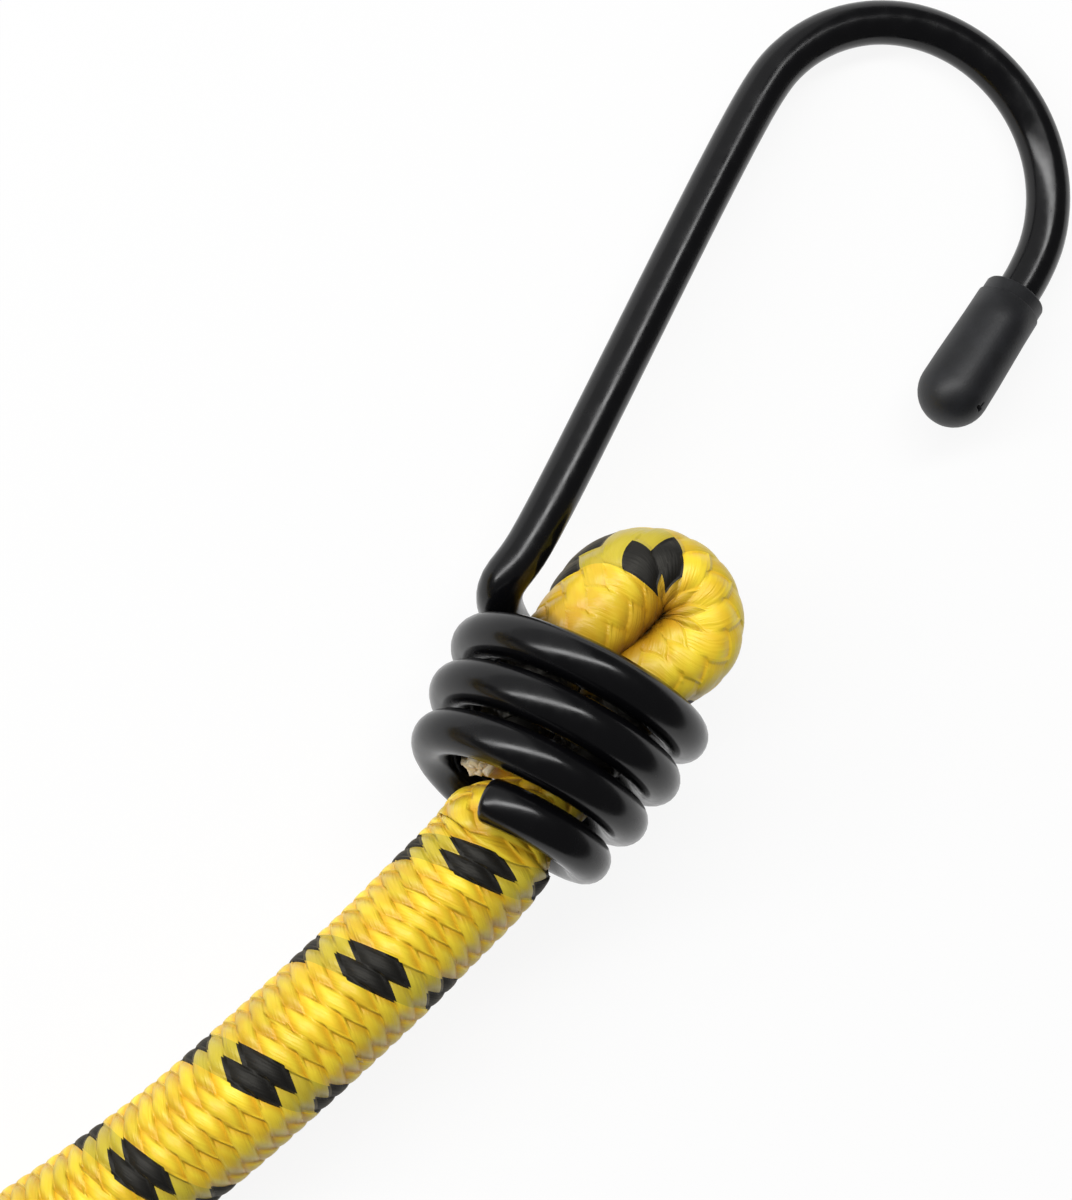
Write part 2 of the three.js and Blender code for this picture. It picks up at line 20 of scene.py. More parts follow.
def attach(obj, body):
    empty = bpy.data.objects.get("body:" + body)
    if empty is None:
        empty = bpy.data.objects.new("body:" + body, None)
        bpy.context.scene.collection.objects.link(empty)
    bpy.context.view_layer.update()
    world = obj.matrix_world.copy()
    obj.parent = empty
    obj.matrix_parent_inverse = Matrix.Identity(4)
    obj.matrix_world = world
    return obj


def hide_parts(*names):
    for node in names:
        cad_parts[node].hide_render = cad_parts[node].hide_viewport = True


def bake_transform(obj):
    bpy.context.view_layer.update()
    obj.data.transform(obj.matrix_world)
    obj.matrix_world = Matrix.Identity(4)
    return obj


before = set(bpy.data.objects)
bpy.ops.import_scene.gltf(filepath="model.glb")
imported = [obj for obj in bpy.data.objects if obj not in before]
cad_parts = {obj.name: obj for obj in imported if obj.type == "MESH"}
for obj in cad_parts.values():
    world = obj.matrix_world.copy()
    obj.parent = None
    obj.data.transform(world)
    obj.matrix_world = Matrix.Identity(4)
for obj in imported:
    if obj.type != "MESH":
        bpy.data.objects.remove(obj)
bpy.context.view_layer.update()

log = logging.getLogger("bungee_cord")

MM = 0.001
SEAT_GAP = 0.3
CORD_D = 8.0
WIRE_D = 2.85
# How far past its own skin a section may reach where no crease stops it
FREE_REACH = 1.0


class Body(Enum):
    """The two rigid bodies that the stretch of the cord joins."""

    HOOK_END = "hook_end"
    STORED_CORD = "stored_cord"


class Slot(Enum):
    """The record's material slots."""

    COATING = "hook_coating"
    CAP = "tip_cap"
    JACKET = "braided_jacket"
    CORE = "rubber_core"
    STRAP = "strap"


# Finishes


def linear_from_hex(colour: str) -> tuple[float, float, float, float]:
    """Turns an sRGB colour to the linear one that a shader takes.

    Args:
        colour: six hex digits after a hash.

    Returns:
        Linear red, green, blue and a full alpha.
    """
    shares = [int(colour[i : i + 2], 16) / 255 for i in (1, 3, 5)]
    linear = [c / 12.92 if c <= 0.04045 else ((c + 0.055) / 1.055) ** 2.4 for c in shares]
    return (linear[0], linear[1], linear[2], 1.0)


def add_node(tree: NodeTree, kind: str, inputs: dict | None = None, **settings) -> Node:
    """Adds a node with its settings and its inputs.

    Args:
        tree: the material's node tree.
        kind: Blender's name of the node type.
        inputs: for each input by name or number, a value, a hex colour, another node's output to link, or
            the other node itself for its first output.
        **settings: the node's own properties.

    Returns:
        The new node.
    """
    node = tree.nodes.new(kind)
    for name, value in settings.items():
        setattr(node, name, value)
    for key, value in (inputs or {}).items():
        source = value.outputs[0] if isinstance(value, Node) else value
        if isinstance(source, NodeSocket):
            tree.links.new(source, node.inputs[key])
        else:
            node.inputs[key].default_value = linear_from_hex(value) if isinstance(value, str) else value
    return node


@dataclass(frozen=True)
class Finish:
    """What every finish has: a name and the making of its material."""

    name: str

    def material(self) -> Material:
        """Returns the finish's material, made once."""
        found = bpy.data.materials.get(self.name)
        if found:
            return found
        made = bpy.data.materials.new(self.name)
        made.use_nodes = True
        made.node_tree.nodes.clear()
        add_node(made.node_tree, "ShaderNodeOutputMaterial", {"Surface": self.shader(made.node_tree)})
        return made

    def shader(self, tree: NodeTree) -> Node:
        """Builds the finish's nodes and returns the last shader."""
        raise NotImplementedError


@dataclass(frozen=True)
class VinylDip(Finish):
    """Steel wire dipped in black plastisol: a thick glossy skin, a little uneven where it ran and set.

    Fresh vinyl has an IOR of 1.53. Handling has dulled this one, so its reflections are dimmer.
    """

    name: str = "dipped_black_vinyl"
    colour: str = "#08080a"
    roughness: float = 0.18
    smeared_roughness: float = 0.28
    ior: float = 1.42
    run_mm: float = 3.2
    run_height: float = 0.1
    smear_mm: float = 1.1
    smears_seen: tuple[float, float] = (0.35, 0.7)

    def shader(self, tree: NodeTree) -> Node:
        """Builds the glossy black skin with its slow waves and handling smears."""
        place = add_node(tree, "ShaderNodeTexCoord").outputs["Object"]
        runs, smears = (
            add_node(tree, "ShaderNodeTexNoise", {"Vector": place, "Scale": scale, "Detail": detail})
            for scale, detail in ((1 / (self.run_mm * MM), 1.0), (1 / (self.smear_mm * MM), 3.0))
        )
        low, high = self.smears_seen
        smooth, dull = self.roughness, self.smeared_roughness
        rough = add_node(
            tree,
            "ShaderNodeMapRange",
            {"Value": smears, "From Min": low, "From Max": high, "To Min": smooth, "To Max": dull},
        )
        waves = add_node(
            tree, "ShaderNodeBump", {"Height": runs, "Strength": 0.25, "Distance": self.run_height * MM}
        )
        return add_node(
            tree,
            "ShaderNodeBsdfPrincipled",
            {"Base Color": self.colour, "Roughness": rough, "IOR": self.ior, "Normal": waves},
        )


@dataclass(frozen=True)
class MouldedRubber(Finish):
    """Cap moulded in soft PVC: matt dark grey with a faint bloom and handling marks."""

    name: str = "moulded_grey_rubber"
    colour: str = "#101114"
    bloom: str = "#1d1e22"
    roughness: float = 0.48
    ior: float = 1.5
    bloom_mm: float = 1.6
    bloom_share: float = 0.7
    bloom_seen: tuple[float, float] = (0.42, 0.75)
    grain_mm: float = 0.12
    grain_height: float = 0.03

    def shader(self, tree: NodeTree) -> Node:
        """Builds the matt grey with its bloom and moulded grain."""
        place = add_node(tree, "ShaderNodeTexCoord").outputs["Object"]
        clouds, grain = (
            add_node(tree, "ShaderNodeTexNoise", {"Vector": place, "Scale": scale, "Detail": detail})
            for scale, detail in ((1 / (self.bloom_mm * MM), 5.0), (1 / (self.grain_mm * MM), 2.0))
        )
        low, high = self.bloom_seen
        amount = add_node(
            tree,
            "ShaderNodeMapRange",
            {"Value": clouds, "From Min": low, "From Max": high, "To Max": self.bloom_share},
        )
        colour = add_node(
            tree, "ShaderNodeMix", {0: amount, 6: self.colour, 7: self.bloom}, data_type="RGBA"
        ).outputs[2]
        bump = add_node(
            tree, "ShaderNodeBump", {"Height": grain, "Strength": 0.3, "Distance": self.grain_height * MM}
        )
        return add_node(
            tree,
            "ShaderNodeBsdfPrincipled",
            {"Base Color": colour, "Roughness": self.roughness, "IOR": self.ior, "Normal": bump},
        )


@dataclass(frozen=True)
class FilamentBraid(Finish):
    """Jacket braided from shiny polypropylene filament yarns, yellow with black tracers.

    The filaments lie along each yarn, so the light draws silky streaks along the floats. Yellow yarns over
    a tracer let it show through and look olive. Light and shade are also painted into the colour: painted
    shade where the floats dive, painted sheen patches and a brighter painted sheen on the right-hand floats,
    painted shade round the fold's crease, and near-black painted shade where the winding grips.
    """

    name: str = "braided_filament_yarn"
    yellow: str = "#fbdc38"
    # painted shade: darker gold where the floats dive under their neighbours, by the crown's height
    shade: str = "#e8a212"
    # painted shade: amber round the fold's crease and near the winding's grip
    crease_shade: str = "#b4740a"
    # painted shade: the dark line and dimple deep in the fold's crease
    crease: str = "#3c1d02"
    # painted shade: near black where the winding grips the yarns, for the shadow between the wire's tight
    # turns
    grip_shade: str = "#0d0c0a"
    tracer: str = "#050507"
    veil: str = "#b8ac36"
    specular_tint: str = "#fffbee"
    sheen_tint: str = "#ffdf80"
    sheen: tuple[float, float] = (0.12, 0.35)
    ior: float = 1.53
    roughness: tuple[float, float] = (0.36, 0.62)
    filaments_per_yarn: float = 9.0
    filament_stretch: float = 0.6
    filament_height: float = 0.09
    # painted sheen: noise patches along the yarns that pull parts of the floats toward the shade colour, as
    # uneven silky reflections would
    sheen_patches_per_yarn: float = 1.1
    sheen_patches_seen: tuple[float, float] = (0.42, 0.66)
    sheen_patch_share: float = 0.35
    # crown heights over which the painted dive shade gives way to yellow
    crowns_seen: tuple[float, float] = (0.1, 0.8)
    # range of brightness: a random brightness per float plus a painted sheen that lifts the right-hand floats
    tones: tuple[float, float] = (0.78, 1.14)
    crease_power: float = 6.0
    scale_height: float = 0.33

    def shader(self, tree: NodeTree) -> Node:
        """Builds the yarn colours from the braid's attributes and the filaments from its yarn map."""
        names = (Braid.CROWN, Braid.TRACER, Braid.VEIL, Braid.TONE_AND_SHEEN, Braid.CREASE, Braid.GRIP_SHADE)
        crown, tracer, veil, tone_and_sheen, crease, grip_shade = (
            add_node(tree, "ShaderNodeAttribute", attribute_name=name).outputs["Fac"] for name in names
        )
        yarn = add_node(tree, "ShaderNodeAttribute", attribute_name=Braid.YARN_MAP).outputs["Vector"]
        stretch = (self.filament_stretch, self.filaments_per_yarn, 1.0)
        filaments = add_node(tree, "ShaderNodeVectorMath", {0: yarn, 1: stretch}, operation="MULTIPLY")
        strands, clouds = (
            add_node(tree, "ShaderNodeTexNoise", {"Vector": place, "Scale": scale, "Detail": detail})
            for place, scale, detail in ((filaments, 1.0, 3.0), (yarn, self.sheen_patches_per_yarn, 1.0))
        )
        whole = (0.0, 1.0)
        depth, patches, brightness, rough = (
            add_node(
                tree,
                "ShaderNodeMapRange",
                {"Value": value, "From Min": low, "From Max": high, "To Min": least, "To Max": most},
            )
            for value, (low, high), (least, most) in (
                # painted shade at the floats' dives, from the crown's height
                (crown, self.crowns_seen, whole),
                # painted sheen patches
                (clouds, self.sheen_patches_seen, (0.0, self.sheen_patch_share)),
                # random brightness per float with painted sheen on the right-hand floats
                (tone_and_sheen, whole, self.tones),
                (tracer, whole, self.roughness),
            )
        )
        colour = self.shade
        for share, over in ((depth, self.yellow), (patches, self.shade)):
            mixed = add_node(tree, "ShaderNodeMix", {0: share, 6: colour, 7: over}, data_type="RGBA")
            colour = mixed.outputs[2]
        colour = add_node(tree, "ShaderNodeHueSaturation", {"Value": brightness, "Color": colour})
        deep = add_node(tree, "ShaderNodeMath", {0: crease, 1: self.crease_power}, operation="POWER")
        layers = (
            (veil, self.veil),
            # painted shade round the fold's crease and near the winding
            (crease, self.crease_shade),
            # painted shade: the dark line deep in the crease
            (deep, self.crease),
            (tracer, self.tracer),
            # painted shade: near black inside the winding's grip
            (grip_shade, self.grip_shade),
        )
        for share, over in layers:
            mixed = add_node(tree, "ShaderNodeMix", {0: share, 6: colour, 7: over}, data_type="RGBA")
            colour = mixed.outputs[2]
        filament_mm, scale_mm = self.filament_height * MM, self.scale_height * MM
        bump = add_node(tree, "ShaderNodeBump", {"Height": strands, "Strength": 0.7, "Distance": filament_mm})
        scales = add_node(
            tree,
            "ShaderNodeBump",
            {"Height": crown, "Strength": 1.0, "Distance": scale_mm, "Normal": bump},
        )
        sheen_weight, sheen_roughness = self.sheen
        return add_node(
            tree,
            "ShaderNodeBsdfPrincipled",
            {
                "Base Color": colour,
                "Roughness": rough,
                "IOR": self.ior,
                "Specular Tint": self.specular_tint,
                "Sheen Weight": sheen_weight,
                "Sheen Roughness": sheen_roughness,
                "Sheen Tint": self.sheen_tint,
                "Normal": scales,
            },
        )


@dataclass(frozen=True)
class NaturalRubber(Finish):
    """Cut threads of pale natural rubber with a dry talc bloom, a little translucent."""

    name: str = "natural_rubber_thread"
    colour: str = "#efe6d2"
    shade: str = "#d8c59e"
    patch_mm: float = 0.6
    roughness: float = 0.75
    ior: float = 1.52
    light_share: float = 0.1
    light_reach: tuple[float, float, float] = (0.6, 0.4, 0.2)

    def shader(self, tree: NodeTree) -> Node:
        """Builds the pale rubber with its uneven talc."""
        place = add_node(tree, "ShaderNodeTexCoord").outputs["Object"]
        patches = add_node(tree, "ShaderNodeTexNoise", {"Vector": place, "Scale": 1 / (self.patch_mm * MM)})
        colour = add_node(
            tree, "ShaderNodeMix", {0: patches, 6: self.shade, 7: self.colour}, data_type="RGBA"
        ).outputs[2]
        return add_node(
            tree,
            "ShaderNodeBsdfPrincipled",
            {
                "Base Color": colour,
                "Roughness": self.roughness,
                "IOR": self.ior,
                "Subsurface Weight": self.light_share,
                "Subsurface Radius": [reach * MM for reach in self.light_reach],
            },
        )


@dataclass(frozen=True)
class WovenTape(Finish):
    """Black nylon hook-and-loop tape: a ribbed ground weave under a short fuzzy loop pile."""

    name: str = "woven_nylon_tape"
    colour: str = "#17171a"
    pile: str = "#2b2b30"
    roughness: float = 0.85
    sheen: tuple[float, float] = (0.35, 0.5)
    rib_mm: float = 0.7
    rib_height: float = 0.1
    rib_unevenness: float = 0.6
    loop_mm: float = 0.28
    loop_height: float = 0.12

    def shader(self, tree: NodeTree) -> Node:
        """Builds the tape's pile from its own map, with loops in rows."""
        weave = add_node(tree, "ShaderNodeUVMap", uv_map=CoilStrap.TAPE_MAP)
        rib_scale = 1 / (self.rib_mm * math.pi)
        ribs = add_node(
            tree,
            "ShaderNodeTexWave",
            {"Vector": weave, "Scale": rib_scale, "Distortion": self.rib_unevenness},
        ).outputs["Fac"]
        loops = add_node(tree, "ShaderNodeTexVoronoi", {"Vector": weave, "Scale": 1 / self.loop_mm})
        colour = add_node(
            tree, "ShaderNodeMix", {0: loops, 6: self.colour, 7: self.pile}, data_type="RGBA"
        ).outputs[2]
        ribbed = add_node(
            tree, "ShaderNodeBump", {"Height": ribs, "Strength": 0.4, "Distance": self.rib_height * MM}
        )
        piled = add_node(
            tree,
            "ShaderNodeBump",
            {"Height": loops, "Strength": 0.7, "Distance": self.loop_height * MM, "Normal": ribbed},
        )
        sheen_weight, sheen_roughness = self.sheen
        return add_node(
            tree,
            "ShaderNodeBsdfPrincipled",
            {
                "Base Color": colour,
                "Roughness": self.roughness,
                "Sheen Weight": sheen_weight,
                "Sheen Roughness": sheen_roughness,
                "Normal": piled,
            },
        )


@dataclass(frozen=True)
class StudioPaper(Finish):
    """White paper that the camera and reflections see as white, with the object's soft shadow kept."""

    name: str = "studio_paper"
    colour: str = "#f4f4f4"
    glow_share: float = 0.9

    def shader(self, tree: NodeTree) -> Node:
        """Builds paper that is mostly plain white to the camera, to glossy rays and through things."""
        rays = add_node(tree, "ShaderNodeLightPath").outputs
        seen = rays["Is Camera Ray"]
        for ray in (rays["Is Glossy Ray"], rays["Is Transmission Ray"]):
            seen = add_node(tree, "ShaderNodeMath", {0: seen, 1: ray}, operation="MAXIMUM")
        share = add_node(tree, "ShaderNodeMath", {0: seen, 1: self.glow_share}, operation="MULTIPLY")
        paper = add_node(tree, "ShaderNodeBsdfDiffuse", {"Color": self.colour})
        white = add_node(tree, "ShaderNodeEmission", {"Color": (1, 1, 1, 1), "Strength": 1.0})
        return add_node(tree, "ShaderNodeMixShader", {0: share, 1: paper, 2: white})


# Lines, frames and sweeps


class Line:
    """A smooth line through chosen points, measured along its length.

    Each row is a place in its first three columns. Any further columns, such as a section's half sizes,
    go along with it.
    """

    SAMPLES = 24

    def __init__(self, rows: Sequence[Sequence[float]], front: Sequence[float] | None = None) -> None:
        """Draws the line.

        Args:
            rows: the chosen points, with any further columns.
            front: the way that the section's front faces, or None to carry it on without twist.
        """
        knots = np.array([list(row) for row in rows], float)
        chain = np.vstack([2 * knots[0] - knots[1], knots, 2 * knots[-1] - knots[-2]])
        pieces = [self._piece(*chain[k - 1 : k + 3]) for k in range(1, len(chain) - 2)]
        self.rows = np.vstack([*pieces, knots[-1:]])
        self.places = self.rows[:, :3]
        steps = np.linalg.norm(np.diff(self.places, axis=0), axis=1)
        self.reach = np.concatenate([[0.0], np.cumsum(steps)])
        self.length = float(self.reach[-1])
        self.knot_reach = self.reach[:: self.SAMPLES]
        ways = np.gradient(self.places, self.reach, axis=0)
        self.ways = ways / np.linalg.norm(ways, axis=1)[:, None]
        self.fronts = self._carried() if front is None else self._facing(np.array(front, float))

    def _piece(self, p0: np.ndarray, p1: np.ndarray, p2: np.ndarray, p3: np.ndarray) -> np.ndarray:
        """Returns the centripetal Catmull-Rom piece from p1 up to p2."""
        d0, d1, d2 = (math.sqrt(np.linalg.norm((b - a)[:3])) for a, b in ((p0, p1), (p1, p2), (p2, p3)))
        slope1 = ((p1 - p0) / d0 - (p2 - p0) / (d0 + d1) + (p2 - p1) / d1) * d1
        slope2 = ((p2 - p1) / d1 - (p3 - p1) / (d1 + d2) + (p3 - p2) / d2) * d1
        t = np.linspace(0, 1, self.SAMPLES, endpoint=False)[:, None]
        curve = p1 + slope1 * t
        curve = curve + (3 * (p2 - p1) - 2 * slope1 - slope2) * t**2
        return curve + (2 * (p1 - p2) + slope1 + slope2) * t**3

    def _facing(self, front: np.ndarray) -> np.ndarray:
        """Returns fronts that face one way, square to the line."""
        square = front - (self.ways @ front)[:, None] * self.ways
        return square / np.linalg.norm(square, axis=1)[:, None]

    def _carried(self) -> np.ndarray:
        """Returns fronts that turn with the line and never about it."""
        upright = abs(self.ways[0][2]) > 0.9
        current = np.array([1.0, 0.0, 0.0] if upright else [0.0, 0.0, 1.0])
        fronts = []
        for way in self.ways:
            current = current - way * (current @ way)
            current = current / np.linalg.norm(current)
            fronts.append(current)
        return np.array(fronts)

    def at(self, reach: Sequence[float] | np.ndarray, table: np.ndarray) -> np.ndarray:
        """Returns the values of one of the line's tables at distances along it."""
        return np.stack([np.interp(reach, self.reach, column) for column in table.T], axis=1)

    def frames(self, reaches: Sequence[float], grow: Callable[[float], float]) -> list[Matrix]:
        """Works out the frames of a sweep.

        Args:
            reaches: distances along the line.
            grow: the section's scale at a distance.

        Returns:
            For each distance, the matrix that puts a flat section in its place, in metres.
        """
        places, ways, fronts = (self.at(reaches, table) for table in (self.places, self.ways, self.fronts))
        made = []
        for reach, place, way, front in zip(reaches, places, ways, fronts):
            z_axis = Vector(way).normalized()
            x_axis = (Vector(front) - z_axis * z_axis.dot(Vector(front))).normalized()
            y_axis = z_axis.cross(x_axis)
            turn = Matrix((x_axis, y_axis, z_axis)).transposed().to_4x4()
            size = grow(reach) * MM
            scale = Matrix.Diagonal((size, size, MM, 1.0))
            made.append(Matrix.Translation(Vector(place) * MM) @ turn @ scale)
        return made


def sweep(bm: BMesh, outline: Sequence[tuple[float, float]], frames: Sequence[Matrix]) -> None:
    """Draws a closed outline along a row of frames by extrusion, and fills both ends.

    Args:
        bm: the mesh to draw in.
        outline: the section's corners in its own plane.
        frames: the place of the section at each step.
    """
    corners = [bm.verts.new(frames[0] @ Vector((x, y, 0))) for x, y in outline]
    edges = [bm.edges.new((corners[i - 1], corner)) for i, corner in enumerate(corners)]
    first = edges
    for before, after in zip(frames, frames[1:]):
        grown = bmesh.ops.extrude_edge_only(bm, edges=edges)["geom"]
        verts = [g for g in grown if isinstance(g, BMVert)]
        fresh = set(verts)
        edges = [g for g in grown if isinstance(g, BMEdge) and fresh.issuperset(g.verts)]
        bmesh.ops.transform(bm, matrix=after @ before.inverted(), verts=verts)
    bmesh.ops.holes_fill(bm, edges=first + edges, sides=0)


def on_circle(degrees: float, radius: float = 1.0) -> tuple[float, float]:
    """Returns the place at an angle on a circle round the origin."""
    angle = math.radians(degrees)
    return radius * math.cos(angle), radius * math.sin(angle)


def round_outline(sides: int) -> list[tuple[float, float]]:
    """Returns a round section of radius one."""
    return [on_circle(360 * i / sides) for i in range(sides)]


def scene_object(name: str, data: ID) -> Object:
    """Makes an object of a mesh, lamp or camera and links it to the scene."""
    made = bpy.data.objects.new(name, data)
    bpy.context.scene.collection.objects.link(made)
    return made


def mesh_object(bm: BMesh, name: str, finish: Finish) -> Object:
    """Turns a bmesh to an object of the scene, dressed in a finish, and frees the bmesh."""
    mesh = bpy.data.meshes.new(name)
    bm.to_mesh(mesh)
    bm.free()
    mesh.materials.append(finish.material())
    return scene_object(name, mesh)


def piece_from(bm: BMesh, name: str, finish: Finish) -> Object:
    """Turns a finished bmesh into a smooth shaded piece of the scene.

    Args:
        bm: the mesh, in metres, in the part's frame. It is freed.
        name: the piece's name.
        finish: the finish that it is dressed in.

    Returns:
        The new object.
    """
    bmesh.ops.recalc_face_normals(bm, faces=bm.faces[:])
    for face in bm.faces:
        face.smooth = len(face.verts) <= 4
    made = mesh_object(bm, name, finish)
    log.info("%s: %d faces", name, len(made.data.polygons))
    return made


# One hook end, in its own frame: X across to the nose, Y along to the crown, Z to the front


@dataclass
class HookWire:
    """The coated wire: winding, rise, shank, bend and nose."""

    turn_gap: float = 0.36
    winding_deg: int = 1200
    full_turns: int = 3
    point_deg: int = 15
    top_bore_r: float = 5.59
    mouth_bore_r: float = 4.24
    bore_taper_power: float = 2.0
    end_tuck: float = 0.5
    end_tuck_deg: float = 120.0
    turn_lean_deg: float = -2.25
    lead_deg: int = 140
    lead_point_deg: int = 20
    lead_rise: float = 0.15
    corner_rise: float = 3.4
    corner_along_share: float = 0.16
    corner_depth_share: float = 0.2
    shank_foot_offset: float = 7.33
    bend_centre: tuple[float, float] = (0.96, 48.6)
    bend_r: float = 10.52
    nose_length: float = 11.0
    nose_lean_deg: float = 2.6
    coat_into_cap: float = 2.2
    end_round: float = 0.42
    end_steps: tuple[float, ...] = (0.0, 0.03, 0.1, 0.22)
    sides: int = 24
    step: float = 0.55

    @property
    def pitch(self) -> float:
        """The rise of the winding in one turn."""
        return WIRE_D + self.turn_gap

    @property
    def height(self) -> float:
        """The height of the full turns of the winding."""
        return self.full_turns * self.pitch

    @property
    def nose_down(self) -> np.ndarray:
        """The way from the bend down the nose."""
        down, aside = on_circle(self.nose_lean_deg)
        return np.array([-aside, -down, 0.0])

    @property
    def nose_end(self) -> np.ndarray:
        """The end of the bare wire in the cap."""
        start = np.array([self.bend_centre[0] + self.bend_r, self.bend_centre[1], 0.0])
        return start + self.nose_down * self.nose_length

    def bore_radius(self, degrees: float) -> float:
        """Returns the radius left inside the winding at an angle down from its top."""
        share = max(degrees, 0) / (360 * self.full_turns)
        tuck = max(0.0, (degrees - self.winding_deg) / self.end_tuck_deg + 1)
        taper = (self.top_bore_r - self.mouth_bore_r) * share**self.bore_taper_power
        return self.top_bore_r - taper - self.end_tuck * tuck**2

    def bore_at(self, along: float) -> float:
        """Returns the room inside the winding at a height."""
        return self.bore_radius(360 * self.full_turns * (1 - along / self.height)) - SEAT_GAP

    def winding_point(self, degrees: float) -> list[float]:
        """Returns the wire's centre at an angle down from the winding's top."""
        x, z = on_circle(degrees, self.bore_radius(degrees) + WIRE_D / 2)
        lean = z * math.tan(math.radians(self.turn_lean_deg))
        return [x, self.height - self.pitch * degrees / 360 + lean, z]

    def centreline(self) -> Line:
        """Returns the wire's centre line, from the free end of the winding to the nose inside the cap."""
        points = [self.winding_point(degrees) for degrees in range(self.winding_deg, -1, -self.point_deg)]
        for degrees in range(self.lead_point_deg, self.lead_deg + 1, self.lead_point_deg):
            x, along, z = self.winding_point(-degrees)
            points.append([x, along + self.lead_rise * (degrees / self.lead_deg) ** 2, z])
        _, along, z = points[-1]
        corner_along = along + self.corner_along_share * self.corner_rise
        points.append([-self.shank_foot_offset, corner_along, self.corner_depth_share * z])
        points.append([-self.shank_foot_offset, along + self.corner_rise, 0.0])
        across, along = self.bend_centre
        for degrees in range(180, -1, -self.point_deg):
            x, y = on_circle(degrees, self.bend_r)
            points.append([across + x, along + y, 0.0])
        nose = self.nose_end - self.nose_down * (TipCap().length - SEAT_GAP - TipCap().end_wall)
        points.append(list(nose + self.nose_down * self.coat_into_cap))
        return Line(points)

    def build(self, name: str, lay: Matrix) -> Object:
        """Builds the wire.

        Args:
            name: the piece's name.
            lay: where the hook end lies.

        Returns:
            The dressed wire.
        """
        line = self.centreline()
        radius = WIRE_D / 2
        straight = line.length - self.end_round
        count = round(straight / self.step)
        reaches = [*self.end_steps, *(self.end_round + straight * i / count for i in range(count + 1))]

        def grow(reach: float) -> float:
            """Returns the wire's radius, rounded over at the free end."""
            short = max(0.0, self.end_round - reach)
            return radius - self.end_round + math.sqrt(self.end_round**2 - short**2)

        bm = bmesh.new()
        sweep(bm, round_outline(self.sides), line.frames(reaches, grow))
        bmesh.ops.transform(bm, matrix=lay, verts=bm.verts[:])
        return piece_from(bm, name, VinylDip())


@dataclass
class TipCap:
    """The soft cap on the nose, turned about the nose's own line."""

    length: float = 10.25
    mouth_d: float = 4.1
    end_d: float = 4.64
    lip: float = 0.9
    lip_step: float = 0.12
    bare_wire_d: float = 2.3
    bore_depth: float = 4.0
    edge_round: float = 0.14
    vent_d: float = 0.6
    vent_depth: float = 0.6
    vent_edge: float = 0.04
    vent_height: float = 1.85
    vent_turn_deg: float = 48.0
    end_step_deg: int = 9
    steps: int = 64

    @property
    def end_wall(self) -> float:
        """The wall of the cap round the bare wire."""
        return (self.mouth_d - self.bare_wire_d) / 2 - SEAT_GAP

    def profile(self) -> list[tuple[float, float]]:
        """Returns the cap's half section: distance from its line, and height above its round end."""
        end_r = self.end_d / 2
        mouth_r = self.mouth_d / 2
        bore_r = self.bare_wire_d / 2 + SEAT_GAP
        points = []
        for degrees in range(0, 90 + self.end_step_deg, self.end_step_deg):
            down, out = on_circle(degrees, end_r)
            points.append((out, end_r - down))
        shoulder = self.length - self.lip - self.lip_step
        step, edge, top = self.lip_step, self.edge_round, self.length
        for share in (0.25, 0.5, 0.75, 1.0):
            swell = (math.cos(math.pi * share) + 1) / 2
            radius = mouth_r + step + (end_r - mouth_r - step) * swell
            points.append((radius, end_r + (shoulder - end_r) * share))
        return [
            *points,
            (mouth_r + step / 3, shoulder + step / 2),
            (mouth_r, shoulder + step),
            (mouth_r, top - edge),
            (mouth_r - edge / 3, top - edge / 3),
            (mouth_r - edge, top),
            (bore_r + edge, top),
            (bore_r, top - edge),
            (bore_r, top - self.bore_depth),
            (0.0, top - self.bore_depth),
        ]

    def _sink_vent(self, bm: BMesh) -> None:
        """Sinks the small blind hole that the mould's pin leaves beside the round end."""
        out = Vector((*on_circle(-self.vent_turn_deg), 0))
        middle = out * self.end_d / 2 + Vector((0, 0, self.vent_height))
        mouth = [face for face in bm.faces if (face.calc_center_median() - middle).length < self.vent_d / 2]
        bmesh.ops.inset_region(bm, faces=mouth, thickness=self.vent_edge, use_even_offset=True)
        sunk = bmesh.ops.extrude_face_region(bm, geom=mouth)["geom"]
        bmesh.ops.delete(bm, geom=mouth, context="FACES_ONLY")
        verts = [part for part in sunk if isinstance(part, BMVert)]
        bmesh.ops.translate(bm, vec=-out * self.vent_depth, verts=verts)

    def build(self, name: str, wire: HookWire, lay: Matrix) -> Object:
        """Builds the cap.

        Args:
            name: the piece's name.
            wire: the hook that it sits on.
            lay: where the hook end lies.

        Returns:
            The dressed cap.
        """
        bm = bmesh.new()
        chain = [bm.verts.new((radius, 0, height)) for radius, height in self.profile()]
        edges = [bm.edges.new(pair) for pair in zip(chain, chain[1:])]
        round_line = {"cent": (0, 0, 0), "axis": (0, 0, 1), "dvec": (0, 0, 0), "angle": 2 * math.pi}
        bmesh.ops.spin(bm, geom=chain + edges, steps=self.steps, use_merge=True, **round_line)
        bmesh.ops.remove_doubles(bm, verts=bm.verts[:], dist=1e-4)
        self._sink_vent(bm)
        up = Vector(tuple(-wire.nose_down))
        turn = Vector((0, 0, 1)).rotation_difference(up).to_matrix().to_4x4()
        end_wall_place = wire.nose_end + wire.nose_down * (SEAT_GAP + self.end_wall)
        place = Matrix.Translation(Vector(tuple(end_wall_place)))
        bmesh.ops.transform(bm, matrix=lay @ Matrix.Scale(MM, 4) @ place @ turn, verts=bm.verts[:])
        return piece_from(bm, name, MouldedRubber())


